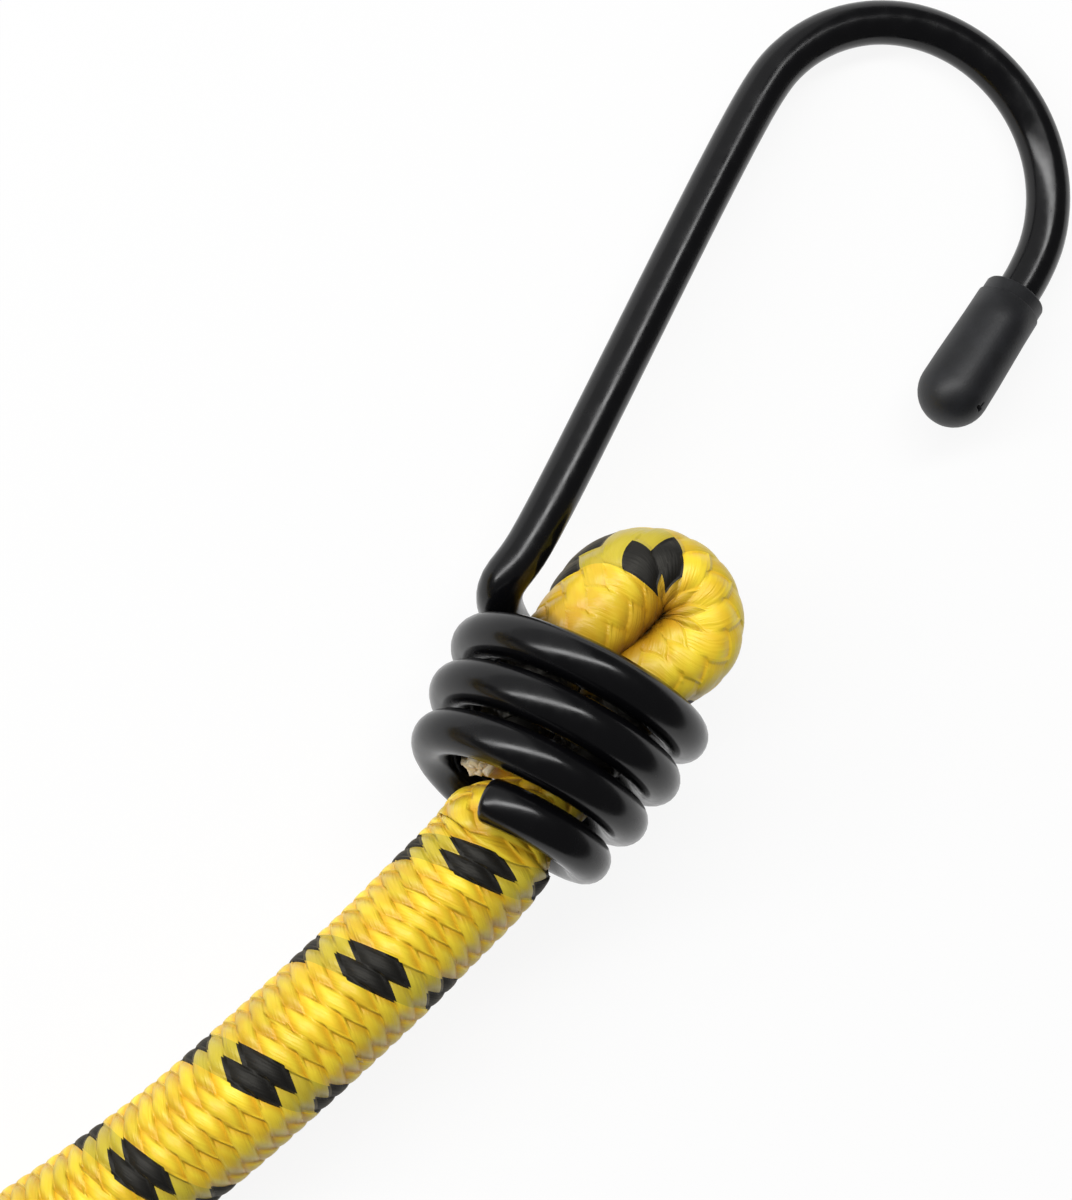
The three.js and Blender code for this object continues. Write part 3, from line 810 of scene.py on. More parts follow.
@dataclass
class Fold:
    """The cord end doubled back through the winding, as a row of cross-sections.

    A section has its place across, along and to the front, its half width, its half depth, the power of its
    outline, where 2 is an ellipse and more is squarer, and how far it may reach to the fold's inside. Shares
    are of the cord's diameter.
    """

    exit_shares: tuple = (
        (0.024, -0.55, -0.125, 0.5, 0.5),
        (0.055, -0.33, -0.085, 0.49, 0.475),
        (0.062, -0.17, -0.05, 0.478, 0.445),
        (0.145, 0.085, -0.01, 0.32, 0.39),
    )
    rise_shares: tuple = (
        (0.33, 0.17, 0.01, 0.285, 0.43),
        (0.475, 0.4, 0.015, 0.335, 0.515),
        (0.56, 0.64, 0.02, 0.352, 0.57),
    )
    fall_shares: tuple = (
        (-0.215, 0.64, 0.02, 0.37, 0.57),
        (-0.245, 0.4, 0.03, 0.355, 0.52),
        (-0.3, 0.17, 0.02, 0.32, 0.48),
    )
    tail_end_shares: tuple = (-0.31, 0.23, 0.05, 0.19, 0.36)
    top_width_shares: tuple = (0.342, 0.33, 0.325, 0.335, 0.355)
    top_depth_share: float = 0.58
    leg_along_shares: tuple = (0.26, 0.55, 0.97)
    tail_along_shares: tuple = (0.97, 0.55)
    leg_depth_share: float = 0.68
    round_power: float = 2.0
    squeezed_power: float = 2.4
    press: float = 0.4
    grip_share: float = 0.97
    grip_ends_at: float = 0.9
    exit_side_deg: float = 12.5
    exit_drop_deg: float = 9.0
    wire: HookWire = field(default_factory=HookWire)

    def _section(self, shares: Sequence[float], base: float, power: float) -> list[float]:
        """Returns a section from shares of the cord's diameter, counted from a height."""
        x, along, z, width, depth = (share * CORD_D for share in shares)
        return [x, base + along, z, width, depth, power, width + FREE_REACH]

    def _leg(self, side: int, share: float) -> list[float]:
        """Returns a leg's section in the winding's grip, on the nose's side for 1 and the shank's for -1."""
        along = share * self.wire.height
        room = self.wire.bore_at(along) * (1.0 if share > self.grip_ends_at else self.grip_share)
        half, depth = (room - SEAT_GAP) / 2, room * self.leg_depth_share
        return [side * room / 2, along, 0.0, half, depth, self.squeezed_power, half + FREE_REACH]

    def _pressed(self, row: Sequence[float], crease: float) -> list[float]:
        """Returns a leg's section widened to its inside until it presses on the other leg at the crease."""
        x, along, z, width, depth, power, _ = row
        side = 1 if x > crease else -1
        outer = x + side * width
        half = (abs(outer - crease) + self.press) / 2
        return [outer - side * half, along, z, half, depth, power, abs(outer - side * half - crease)]

    def exit_sections(self) -> list[list[float]]:
        """Returns the sections from the winding's mouth up to the middle of its bore."""
        powers = [self.round_power] + [self.squeezed_power] * (len(self.exit_shares) - 1)
        mouth = [self._section(row, 0.0, power) for row, power in zip(self.exit_shares, powers)]
        return mouth + [self._leg(1, share) for share in self.leg_along_shares[:2]]

    def fold_sections(self) -> list[list[float]]:
        """Returns the sections from the middle of the bore over the fold to the cut end of the tail."""
        top = self.wire.height
        rise = [self._section(row, top, self.squeezed_power) for row in self.rise_shares]
        fall = [self._section(row, top, self.squeezed_power) for row in self.fall_shares]
        first, last = rise[-1], fall[0]
        middle, reach = (first[0] + last[0]) / 2, (first[0] - last[0]) / 2
        top_depth = self.top_depth_share * CORD_D
        over = []
        for i, share in enumerate(self.top_width_shares, start=1):
            half = (reach + share * CORD_D + self.press) / 2
            out = half - self.press
            x, along = on_circle(180 * i / (len(self.top_width_shares) + 1), out)
            over.append([middle + x, first[1] + along, first[2], half, top_depth, self.squeezed_power, out])
        creases = [(up[0] - up[3] + down[0] + down[3]) / 2 for up, down in zip(rise, reversed(fall))]
        rise = [self._pressed(row, crease) for row, crease in zip(rise, creases)]
        fall = [self._pressed(row, crease) for row, crease in zip(fall, reversed(creases))]
        legs_up = [self._leg(1, share) for share in self.leg_along_shares[1:]]
        legs_down = [self._leg(-1, share) for share in self.tail_along_shares]
        tail = self._section(self.tail_end_shares, 0.0, self.squeezed_power)
        return [*legs_up, *rise, *over, *fall, *legs_down, tail]

    def exit_way(self) -> Vector:
        """Returns the way in which the cord leaves the winding."""
        level, down = on_circle(self.exit_drop_deg)
        along, aside = on_circle(self.exit_side_deg, level)
        return Vector((-aside, -along, -down))


def laid_sections(sections: Sequence[Sequence[float]], lay: Matrix) -> list[list[float]]:
    """Moves sections from the hook's frame to the part's, in millimetres."""
    return [[*(lay @ (Vector(row[:3]) * MM) / MM), *row[3:]] for row in sections]


# Braid


@dataclass(frozen=True)
class Braid:
    """A regular braid of two over, two under, half its yarns winding each way.

    A place on the cord is counted in yarns: first the right-hand yarns from the start, then the left-hand
    ones. Each float covers two crossings, is softly domed, and both its ends dive under a crossing float.
    """

    YARN_MAP = "yarn_map"
    CROWN = "crown"
    TRACER = "tracer"
    VEIL = "veil"
    # random brightness per float with a painted sheen on the right-hand floats
    TONE_AND_SHEEN = "tone_and_sheen"
    # painted shade round the fold's crease and near the winding
    CREASE = "crease"
    # painted shade where the winding grips the yarns
    GRIP_SHADE = "grip_shade"

    yarns_each_way: int = 8
    lead: float = 8.75
    crown_height: float = 0.22
    sink: float = 0.03
    edge_height: float = 0.7
    dive_height: float = 0.28
    dive_cells: tuple[float, float] = (0.05, 0.85)
    dome_power: float = 2.4
    mark_growth: float = 0.12
    veil_share: float = 0.65
    left_yarns_apart: float = 5.0
    # share of each float's brightness that is random; the rest is a painted sheen given to the right-hand
    # floats
    tone_spread: float = 0.6
    tone_count: int = 4096
    right_key: tuple[int, int, int] = (31, 17, 0)
    left_key: tuple[int, int, int] = (47, 13, 7)
    scale_share: float = 1.0
    tracers: tuple[int, int] = (0, 1)
    front_deg: float = -12.5
    mark_at: float = -0.4
    seed: int = 7

    def yarns_at(self, reach: np.ndarray, turns: np.ndarray) -> tuple[np.ndarray, np.ndarray]:
        """Returns the count in yarns of both ways at a distance along the cord and a turn round it."""
        round_part = self.yarns_each_way * (turns - self.front_deg / 360)
        along_part = self.yarns_each_way * (reach - self.mark_at) / self.lead
        return round_part + along_part + 1.0, round_part - along_part + 0.5

    def sheet_matrix(self) -> Matrix:
        """Returns the matrix from a place in yarns to a distance along and a turn round the cord."""
        n = self.yarns_each_way
        along, around = self.lead / (2 * n), 1 / (2 * n)
        made = Matrix.Identity(4)
        made[0][0], made[0][1], made[0][3] = along, -along, self.mark_at - 0.5 * along
        made[1][0], made[1][1], made[1][3] = around, around, self.front_deg / 360 - 1.5 * around
        return made

    def on_mark(self, right: float, left: float) -> bool:
        """Says whether a place in yarns is on a tracer's float, which is a little fuller than the others."""
        grow = self.mark_growth
        for across, along in ((0, 0), (grow, 0), (-grow, 0), (0, grow), (0, -grow)):
            right_cell, left_cell = math.floor(right + across), math.floor(left + along)
            if right_cell % self.yarns_each_way in self.tracers and (right_cell + left_cell) % 4 < 2:
                return True
        return False

    def relief(self, right: np.ndarray, left: np.ndarray) -> np.ndarray:
        """Returns how high the yarns stand at places in yarns: 0 where one dives under, 1 on a crown."""
        right_cell, left_cell = np.floor(right + 1e-6), np.floor(left + 1e-6)
        right_part, left_part = right - right_cell, left - left_cell
        phase = np.mod(right_cell + left_cell, 4)
        over = phase < 2
        along = np.where(over, phase + left_part, phase - 2 + right_part)
        across = np.where(over, right_part, left_part)
        dome = 1 - np.abs(2 * np.clip(across, 0, 1) - 1) ** self.dome_power
        body = self.edge_height + (1 - self.edge_height) * dome
        from_end = np.minimum(along, 2 - along)
        first, last = self.dive_cells
        share = np.clip((from_end - first) / (last - first), 0, 1)
        rise = self.dive_height + (1 - self.dive_height) * np.sin(share * math.pi / 2)
        return np.where(from_end < 1e-4, self.edge_height, body * rise)


@dataclass
class Sleeve:
    """The braided skin of a stretch of cord along a row of cross-sections."""

    sections: list[list[float]]
    braid: Braid
    front: tuple[float, float, float]
    starts_at: float
    facets: int
    inside: int = 0
    lean: float = 0.0
    lean_at: float = 14.7
    lean_span: float = 5.0
    # painted crease shade: how far it reaches, and how much farther where the fold leans
    crease_reach: float = 1.2
    crease_spread: float = 2.2
    crease_gap: float = 0.01
    # painted shade near the winding: how far past the grip it reaches and how strong it is
    grip_reach: float = 3.5
    grip_share: float = 0.6
    grip_shade_fade: float = 0.8
    # lengths where the winding grips the cord; painted shade darkens its yarns there
    gripped: tuple[tuple[float, float], ...] = ()
    floor_soft: float = 0.35

    def __post_init__(self) -> None:
        """Draws the stretch's line."""
        self.line = Line(self.sections, self.front)

    def surface(
        self, reach: np.ndarray, turns: np.ndarray, lift: np.ndarray
    ) -> tuple[np.ndarray, np.ndarray]:
        """Places points of the unrolled braid on the cord.

        Args:
            reach: distances along the stretch.
            turns: turns round it from its front.
            lift: heights above its skin.

        Returns:
            The points, in millimetres, and the share of painted shade at each, which on a fold rises round
            its crease and near where the winding grips it. Where the cord lies, its underside is pressed
            flat.
        """
        near = np.exp(-(((reach - self.lean_at) / self.lean_span) ** 2))
        reach = reach + self.lean * near * np.sin(2 * math.pi * turns)
        line = self.line
        rows, ways, fronts = (line.at(reach, table) for table in (line.rows, line.ways, line.fronts))
        sides = np.cross(fronts, ways)
        angle = 2 * math.pi * turns
        cosine, sine = np.cos(angle), np.sin(angle)
        power = 2 / rows[:, 5]
        deep = rows[:, 4] * np.sign(cosine) * np.abs(cosine) ** power
        wide = rows[:, 3] * np.sign(sine) * np.abs(sine) ** power
        out = fronts * (cosine / rows[:, 4])[:, None] + sides * (sine / rows[:, 3])[:, None]
        out /= np.linalg.norm(out, axis=1)[:, None]
        deep, wide = deep + lift * np.sum(out * fronts, axis=1), wide + lift * np.sum(out * sides, axis=1)
        creased = np.zeros_like(wide)
        # painted shade: the fold's yarns darken towards its crease
        if self.inside:
            spread = self.crease_reach + self.crease_spread * near
            creased = np.clip(1 - (rows[:, 6] - self.inside * wide) / spread, 0, 1)
            # painted shade also rises near where the winding grips the fold
            creased = np.maximum(creased, self.grip_share * self._grip_shade(reach, self.grip_reach))
            wide = self.inside * np.minimum(self.inside * wide, rows[:, 6] - self.crease_gap)
        points = rows[:, :3] + fronts * deep[:, None] + sides * wide[:, None]
        soft = self.floor_soft
        low = points[:, 2] < soft
        points[low, 2] = soft * np.exp(points[low, 2] / soft - 1)
        return points, creased

    def _grip_shade(self, reach: np.ndarray, outside: float = 0.0) -> np.ndarray:
        """Returns the share of painted shade where the wire grips the yarns, also up to a distance outside
        its windings.

        Args:
            reach: distances along the stretch.
            outside: how far outside the gripped lengths the share still falls to 0.

        Returns:
            The share at each place, 1 within the grip, where the yarns are painted near black for the shadow
            between the wire's tight turns.
        """
        share = np.zeros_like(reach)
        for start, end in self.gripped:
            within = np.minimum(reach - start, end - reach)
            fall = max(outside, self.grip_shade_fade)
            share = np.maximum(share, np.clip((within + outside) / fall, 0, 1))
        return share

    def _flat_braid(self) -> BMesh:
        """Returns the unrolled braid as a strip of crossings, cut square at both ends."""
        n = self.braid.yarns_each_way
        start, end = self.starts_at, self.starts_at + self.line.length
        first = math.floor(2 * n * (start - self.braid.mark_at) / self.braid.lead + 0.5)
        last = math.ceil(2 * n * (end - self.braid.mark_at) / self.braid.lead + 0.5) + n
        bm = bmesh.new()
        along, around = (last - first) * self.facets, n * self.facets
        bmesh.ops.create_grid(bm, x_segments=along, y_segments=around, size=0.5)
        to_yarns = Matrix.Translation((first, 0, 0)) @ Matrix.Diagonal((last - first, n, 1, 1))
        to_yarns = to_yarns @ Matrix.Translation((0.5, 0.5, 0))
        bmesh.ops.transform(bm, matrix=self.braid.sheet_matrix() @ to_yarns, verts=bm.verts[:])
        for place, way in ((start, (-1, 0, 0)), (end, (1, 0, 0))):
            cut = {"plane_co": (place, 0, 0), "plane_no": way, "clear_outer": True, "dist": 1e-5}
            bmesh.ops.bisect_plane(bm, geom=bm.verts[:] + bm.edges[:] + bm.faces[:], **cut)
        return bm

    def _mark_yarns(self, bm: BMesh) -> None:
        """Writes each face corner's yarn map, and what its yarn is, from its place on the flat braid."""
        yarn_map = bm.loops.layers.float_vector.new(Braid.YARN_MAP)
        tracer, veil, tone_and_sheen = (
            bm.loops.layers.float.new(name) for name in (Braid.TRACER, Braid.VEIL, Braid.TONE_AND_SHEEN)
        )
        braid = self.braid
        tones = np.random.default_rng(braid.seed).random(braid.tone_count)
        for face in bm.faces:
            middle = face.calc_center_median()
            right, left = braid.yarns_at(middle.x, middle.y)
            right_cell, left_cell = math.floor(right), math.floor(left)
            phase = (right_cell + left_cell) % 4
            right_over = phase < 2
            on_mark = braid.on_mark(right, left)
            veiled = right_cell % braid.yarns_each_way in braid.tracers and not on_mark
            if right_over:
                yarn, starts, (by_yarn, by_start, more) = right_cell, left_cell - phase, braid.right_key
            else:
                yarn, starts, (by_yarn, by_start, more) = left_cell, right_cell - phase + 2, braid.left_key
            tone_at = (yarn * by_yarn + starts * by_start + more) % braid.tone_count
            float_tone = braid.tone_spread * tones[tone_at]
            for loop in face.loops:
                a, b = braid.yarns_at(loop.vert.co.x, loop.vert.co.y)
                loop[yarn_map] = (b, a, 0.0) if right_over else (a, b, braid.left_yarns_apart)
                loop[tracer] = 1.0 if on_mark else 0.0
                loop[veil] = braid.veil_share if veiled else 0.0
                # painted sheen: right-hand floats get a higher value, for the filaments' sheen; the rest is a
                # random brightness per float
                loop[tone_and_sheen] = float_tone + (1 - braid.tone_spread if right_over else 0.0)

    def build(self, name: str) -> Object:
        """Builds the closed sleeve.

        Args:
            name: the piece's name.

        Returns:
            The dressed stretch of cord.
        """
        bm = self._flat_braid()
        self._mark_yarns(bm)
        crown, crease, grip_shade = (
            bm.verts.layers.float.new(name) for name in (Braid.CROWN, Braid.CREASE, Braid.GRIP_SHADE)
        )
        bm.verts.ensure_lookup_table()
        flat = np.array([vert.co[:2] for vert in bm.verts])
        height = self.braid.relief(*self.braid.yarns_at(flat[:, 0], flat[:, 1]))
        lift = self.braid.crown_height * (height - 1) - self.braid.sink
        reach = flat[:, 0] - self.starts_at
        points, creased = self.surface(reach, flat[:, 1], lift)
        # painted shade share: 1 inside the winding's grip
        grip_shades = self._grip_shade(reach)
        scales = 1 - self.braid.scale_share * (1 - height)
        for vert, point, *shares in zip(bm.verts, points * MM, scales, creased, grip_shades):
            vert.co = point
            vert[crown], vert[crease], vert[grip_shade] = shares
        bmesh.ops.remove_doubles(bm, verts=bm.verts[:], dist=1e-6)
        bmesh.ops.dissolve_degenerate(bm, edges=bm.edges[:], dist=1e-7)
        rim = [edge for edge in bm.edges if edge.is_boundary]
        bmesh.ops.holes_fill(bm, edges=rim, sides=0)
        return piece_from(bm, name, FilamentBraid())


# Routes of the free cord, in the part's frame


@dataclass
class Layout:
    """Where the hook ends and the stored coil lie on the floor."""

    near_at: tuple[float, float] = (0.0, 78.0)
    near_turn_deg: float = 18.0
    far_from_coil: tuple[float, float] = (-20.0, -1.2)
    far_turn_deg: float = -9.0
    flat_share: float = 0.1
    coil_start_r: float = 50.5
    coil_spacing: float = 8.55
    coil_deg: float = 459.0
    coil_point_deg: float = 7.5
    straight_lead: float = 8.0
    end_tuck: float = 1.8
    end_tuck_deg: float = 40.0
    strap_at_deg: float = 52.0
    strap_thick: float = 0.6
    lift_span_deg: float = 26.0
    far_start_handle: float = 11.0
    far_end_handle: float = 9.0
    far_points: int = 11
    run_points: tuple = (
        (3.0, 48.3, 8.55),
        (3.3, 43.2, 7.3),
        (3.3, 38.4, 5.9),
        (3.05, 33.6, 4.65),
        (2.65, 28.8, 3.75),
        (2.15, 24.0, 3.3),
    )
    run_flat_points: tuple = ((1.6, 19.2), (1.02, 14.4), (0.47, 9.6))
    wire: HookWire = field(default_factory=HookWire)
    cap: TipCap = field(default_factory=TipCap)
    fold: Fold = field(default_factory=Fold)

    @property
    def lying(self) -> float:
        """The height of the cord's centre where it lies on the floor."""
        return CORD_D / 2 - self.flat_share * CORD_D

    def _lay(self, at: tuple[float, float], turn_deg: float, pitch_deg: float) -> Matrix:
        """Returns the matrix that lays a hook end on the floor, its lowest wire touching it."""
        turn = Matrix.Rotation(math.radians(turn_deg), 4, "Z")
        tilt = turn @ Matrix.Rotation(math.radians(pitch_deg), 4, "X")
        heights = self.wire.centreline().places @ np.array(tilt)[2, :3]
        lift = WIRE_D / 2 - float(heights.min())
        return Matrix.Translation(Vector((at[0], at[1], lift)) * MM) @ tilt

    def near_lay(self) -> Matrix:
        """Returns where the near hook end lies, its winding and its crown on the floor."""
        _, along, z = self.wire.winding_point(-90)
        reach = self.wire.bend_centre[1] + self.wire.bend_r - along
        return self._lay(self.near_at, self.near_turn_deg, -math.degrees(math.asin(-z / reach)))

    def far_lay(self) -> Matrix:
        """Returns where the far hook end lies, its cap resting over the coil."""
        _, along, z = self.wire.winding_point(-90)
        mouth = self.wire.nose_end - self.wire.nose_down * (self.cap.length - SEAT_GAP - self.cap.end_wall)
        middle = (mouth[1] + self.wire.nose_end[1]) / 2
        coil_top = CORD_D - self.flat_share * CORD_D
        clear = coil_top + SEAT_GAP + self.cap.end_d / 2 - (-z + WIRE_D / 2)
        at = (-self.coil_start_r + self.far_from_coil[0], self.far_from_coil[1])
        return self._lay(at, self.far_turn_deg, math.degrees(math.atan(clear / (middle - along))))

    def exit_of(self, lay: Matrix) -> tuple[Vector, Vector]:
        """Returns where the cord leaves a laid hook end and the way that it goes, in millimetres."""
        place = lay @ (Vector(self.fold.exit_sections()[0][:3]) * MM) / MM
        return place, (lay.to_3x3() @ self.fold.exit_way()).normalized()

    def lift_at(self, degrees: float) -> float:
        """Returns how far the strap lifts the coil's cord at an angle round it."""
        off = min(abs(degrees - self.strap_at_deg), abs(degrees - self.strap_at_deg - 360))
        if off > self.lift_span_deg:
            return 0.0
        full = self.strap_thick + SEAT_GAP + self.flat_share * CORD_D
        return full * (1 + math.cos(math.pi * off / self.lift_span_deg)) / 2

    def coil_point(self, degrees: float) -> Vector:
        """Returns the centre of the stored cord at an angle round the coil."""
        tuck = max(0.0, (degrees - self.coil_deg) / self.end_tuck_deg + 1)
        radius = self.coil_start_r - self.coil_spacing * degrees / 360 - self.end_tuck * tuck**2
        x, y = on_circle(-degrees, radius)
        return Vector((x - self.coil_start_r, y, self.lying + self.lift_at(degrees)))

    def coil_end_way(self) -> Vector:
        """Returns the way that the cord leaves the coil."""
        half = self.coil_point_deg / 2
        way = self.coil_point(self.coil_deg + half) - self.coil_point(self.coil_deg - half)
        way.z = 0
        return way.normalized()

    def near_run(self) -> list[Vector]:
        """Returns the chosen points from the near exit down to the coil's straight start."""
        place, way = self.exit_of(self.near_lay())
        stub = [place + way * reach for reach in (CORD_D / 2, CORD_D)]
        raised = [Vector((x, self.straight_lead + y, z)) for x, y, z in self.run_points]
        flat = [Vector((x, self.straight_lead + y, self.lying)) for x, y in self.run_flat_points]
        end = [Vector((0, self.straight_lead + y, self.lying)) for y in (CORD_D / 2, 0.0)]
        return [*stub, *raised, *flat, *end]

    def coil(self) -> list[Vector]:
        """Returns the points of the coil, straight at both ends."""
        lead = [Vector((0, y, self.lying)) for y in (self.straight_lead, self.straight_lead / 2)]
        count = round(self.coil_deg / self.coil_point_deg)
        turns = [self.coil_point(self.coil_deg * i / count) for i in range(count + 1)]
        end = self.coil_point(self.coil_deg)
        way = self.coil_end_way()
        return [*lead, *turns, *(end + way * reach for reach in (CORD_D / 2, CORD_D))]

    def far_run(self) -> list[Vector]:
        """Returns the points from the coil's end up to the far hook's exit."""
        place, way = self.exit_of(self.far_lay())
        heading = self.coil_end_way()
        start = self.coil_point(self.coil_deg) + heading * CORD_D
        a, d = start + heading * CORD_D / 2, place + way * CORD_D / 2
        b, c = a + heading * self.far_start_handle, d + way * self.far_end_handle
        points = []
        for i in range(self.far_points):
            t = i / (self.far_points - 1)
            points.append(a * (1 - t) ** 3 + b * 3 * t * (1 - t) ** 2 + c * 3 * t**2 * (1 - t) + d * t**3)
        return points


def round_sections(points: Sequence[Vector]) -> list[list[float]]:
    """Returns plain round sections of the cord's diameter at points."""
    half = CORD_D / 2
    return [[*point, half, half, Fold.round_power, half + FREE_REACH] for point in points]


@dataclass
class FreeCord:
    """The two stretches of cord and the folded ends that they run into."""

    layout: Layout
    braid: Braid = field(default_factory=Braid)
    fold_braid: Braid = Braid(
        lead=12.3, crown_height=0.18, scale_share=0.55, mark_growth=0.0, front_deg=6.0, mark_at=15.0
    )
    exit_grip: tuple[float, float] = (-5.0, 3.0)
    fold_lean: float = 1.25
    foot_grip: float = 1.2
    tail_grip: float = 0.3

    def build(self) -> dict[str, Object]:
        """Builds the near run, the stored cord and both folds as one unbroken braid.

        Returns:
            The pieces by name.
        """
        near_lay, far_lay = self.layout.near_lay(), self.layout.far_lay()
        fold = self.layout.fold
        near_inside = laid_sections(fold.exit_sections()[::-1], near_lay)
        near_rows = near_inside + round_sections(self.layout.near_run())
        inside_length = Line(near_inside).length
        near = Sleeve(near_rows, self.braid, (0, 0, 1), -inside_length, facets=8, gripped=(self.exit_grip,))
        far_inside = laid_sections(fold.exit_sections(), far_lay)
        stored_rows = round_sections(self.layout.coil() + self.layout.far_run()) + far_inside
        stored = Sleeve(stored_rows, self.braid, (0, 0, 1), near.starts_at + near.line.length, facets=4)
        pieces = {
            "near_cord": near.build("near_cord"),
            "stored_cord_braid": stored.build("stored_cord_braid"),
            "near_fold_braid": self._folded_end(near_lay, facets=8).build("near_fold_braid"),
            "far_fold_braid": self._folded_end(far_lay, facets=6).build("far_fold_braid"),
        }
        self._declare(pieces)
        return pieces

    def _folded_end(self, lay: Matrix, facets: int) -> Sleeve:
        """Returns the sleeve of a folded end, gripped by the winding at both of its feet."""
        rows = laid_sections(self.layout.fold.fold_sections()[::-1], lay)
        front = lay.to_3x3() @ Vector((0, 0, 1))
        made = Sleeve(rows, self.fold_braid, tuple(front), 0.0, facets, inside=-1, lean=self.fold_lean)
        reach = made.line.knot_reach
        made.gripped = ((0.0, reach[2] + self.foot_grip), (reach[-2] + self.tail_grip, math.inf))
        return made

    def _declare(self, pieces: dict[str, Object]) -> None:
        """Hides the stand-in parts of the stretches and folds, bakes the near cord's transform, and hands the
        other pieces to the bodies that carry them.
        """
        near_exit, _ = self.layout.exit_of(self.layout.near_lay())
        joint_end = self.layout.near_run()[-1]
        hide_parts("near_run_jacket", "near_run_core")
        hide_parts("coil_jacket", "coil_core", "far_run_jacket", "far_run_core")
        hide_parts("near_fold_jacket")
        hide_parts("far_fold_jacket")
        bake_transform(pieces["near_cord"])
        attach(pieces["near_fold_braid"], Body.HOOK_END.value)
        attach(pieces["stored_cord_braid"], Body.STORED_CORD.value)
        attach(pieces["far_fold_braid"], Body.STORED_CORD.value)


@dataclass
class RubberTail:
    """The cut rubber threads that stand out of the jacket at the end of the tail."""

    fold: Fold
    thread_d: float = 0.52
    stands_out: float = 1.1
    inside: float = 1.5
    bundle_share: float = 0.62
    jacket_wall: float = 0.35
    towards_wire: float = 0.6
    column_share: float = 1.04
    row_share: float = 0.9
    least_out_share: float = 0.35
    spread: float = 0.12
    sides: int = 8
    step_shares: tuple[float, ...] = (0, 0.3, 0.6, 0.85, 1)
    seed: int = 3

    def build(self, name: str, lay: Matrix) -> Object:
        """Builds the bundle of threads.

        Args:
            name: the piece's name.
            lay: where the hook end lies.

        Returns:
            The dressed bundle.
        """
        chance = np.random.default_rng(self.seed)
        *_, before, end = self.fold.fold_sections()
        place = Vector(end[:3])
        way = (place - Vector(before[:3])).normalized()
        place.x -= self.towards_wire
        front = Vector((0, 0, 1))
        side = front.cross(way).normalized()
        half_width, half_depth = (end[3] - self.jacket_wall) * self.bundle_share, end[4] - self.jacket_wall
        bm = bmesh.new()
        rows = int(half_depth / self.thread_d) + 1
        for row in range(-rows, rows + 1):
            for column in range(-rows, rows + 1):
                across = (column + 0.5 * (row % 2)) * self.thread_d * self.column_share
                deep = row * self.thread_d * self.row_share
                if (across / half_width) ** 2 + (deep / half_depth) ** 2 > 1:
                    continue
                least = self.least_out_share
                out = self.stands_out * (least + (1 - least) * chance.random())
                spread = Vector(tuple(chance.normal(0, self.spread, 3)))
                foot = place + side * across + front * deep
                line = Line([foot - way * self.inside, foot, foot + way * out / 2, foot + way * out + spread])
                reaches = [line.length * share for share in self.step_shares]
                sweep(bm, round_outline(self.sides), line.frames(reaches, lambda reach: self.thread_d / 2))
        bmesh.ops.transform(bm, matrix=lay, verts=bm.verts[:])
        return piece_from(bm, name, NaturalRubber())


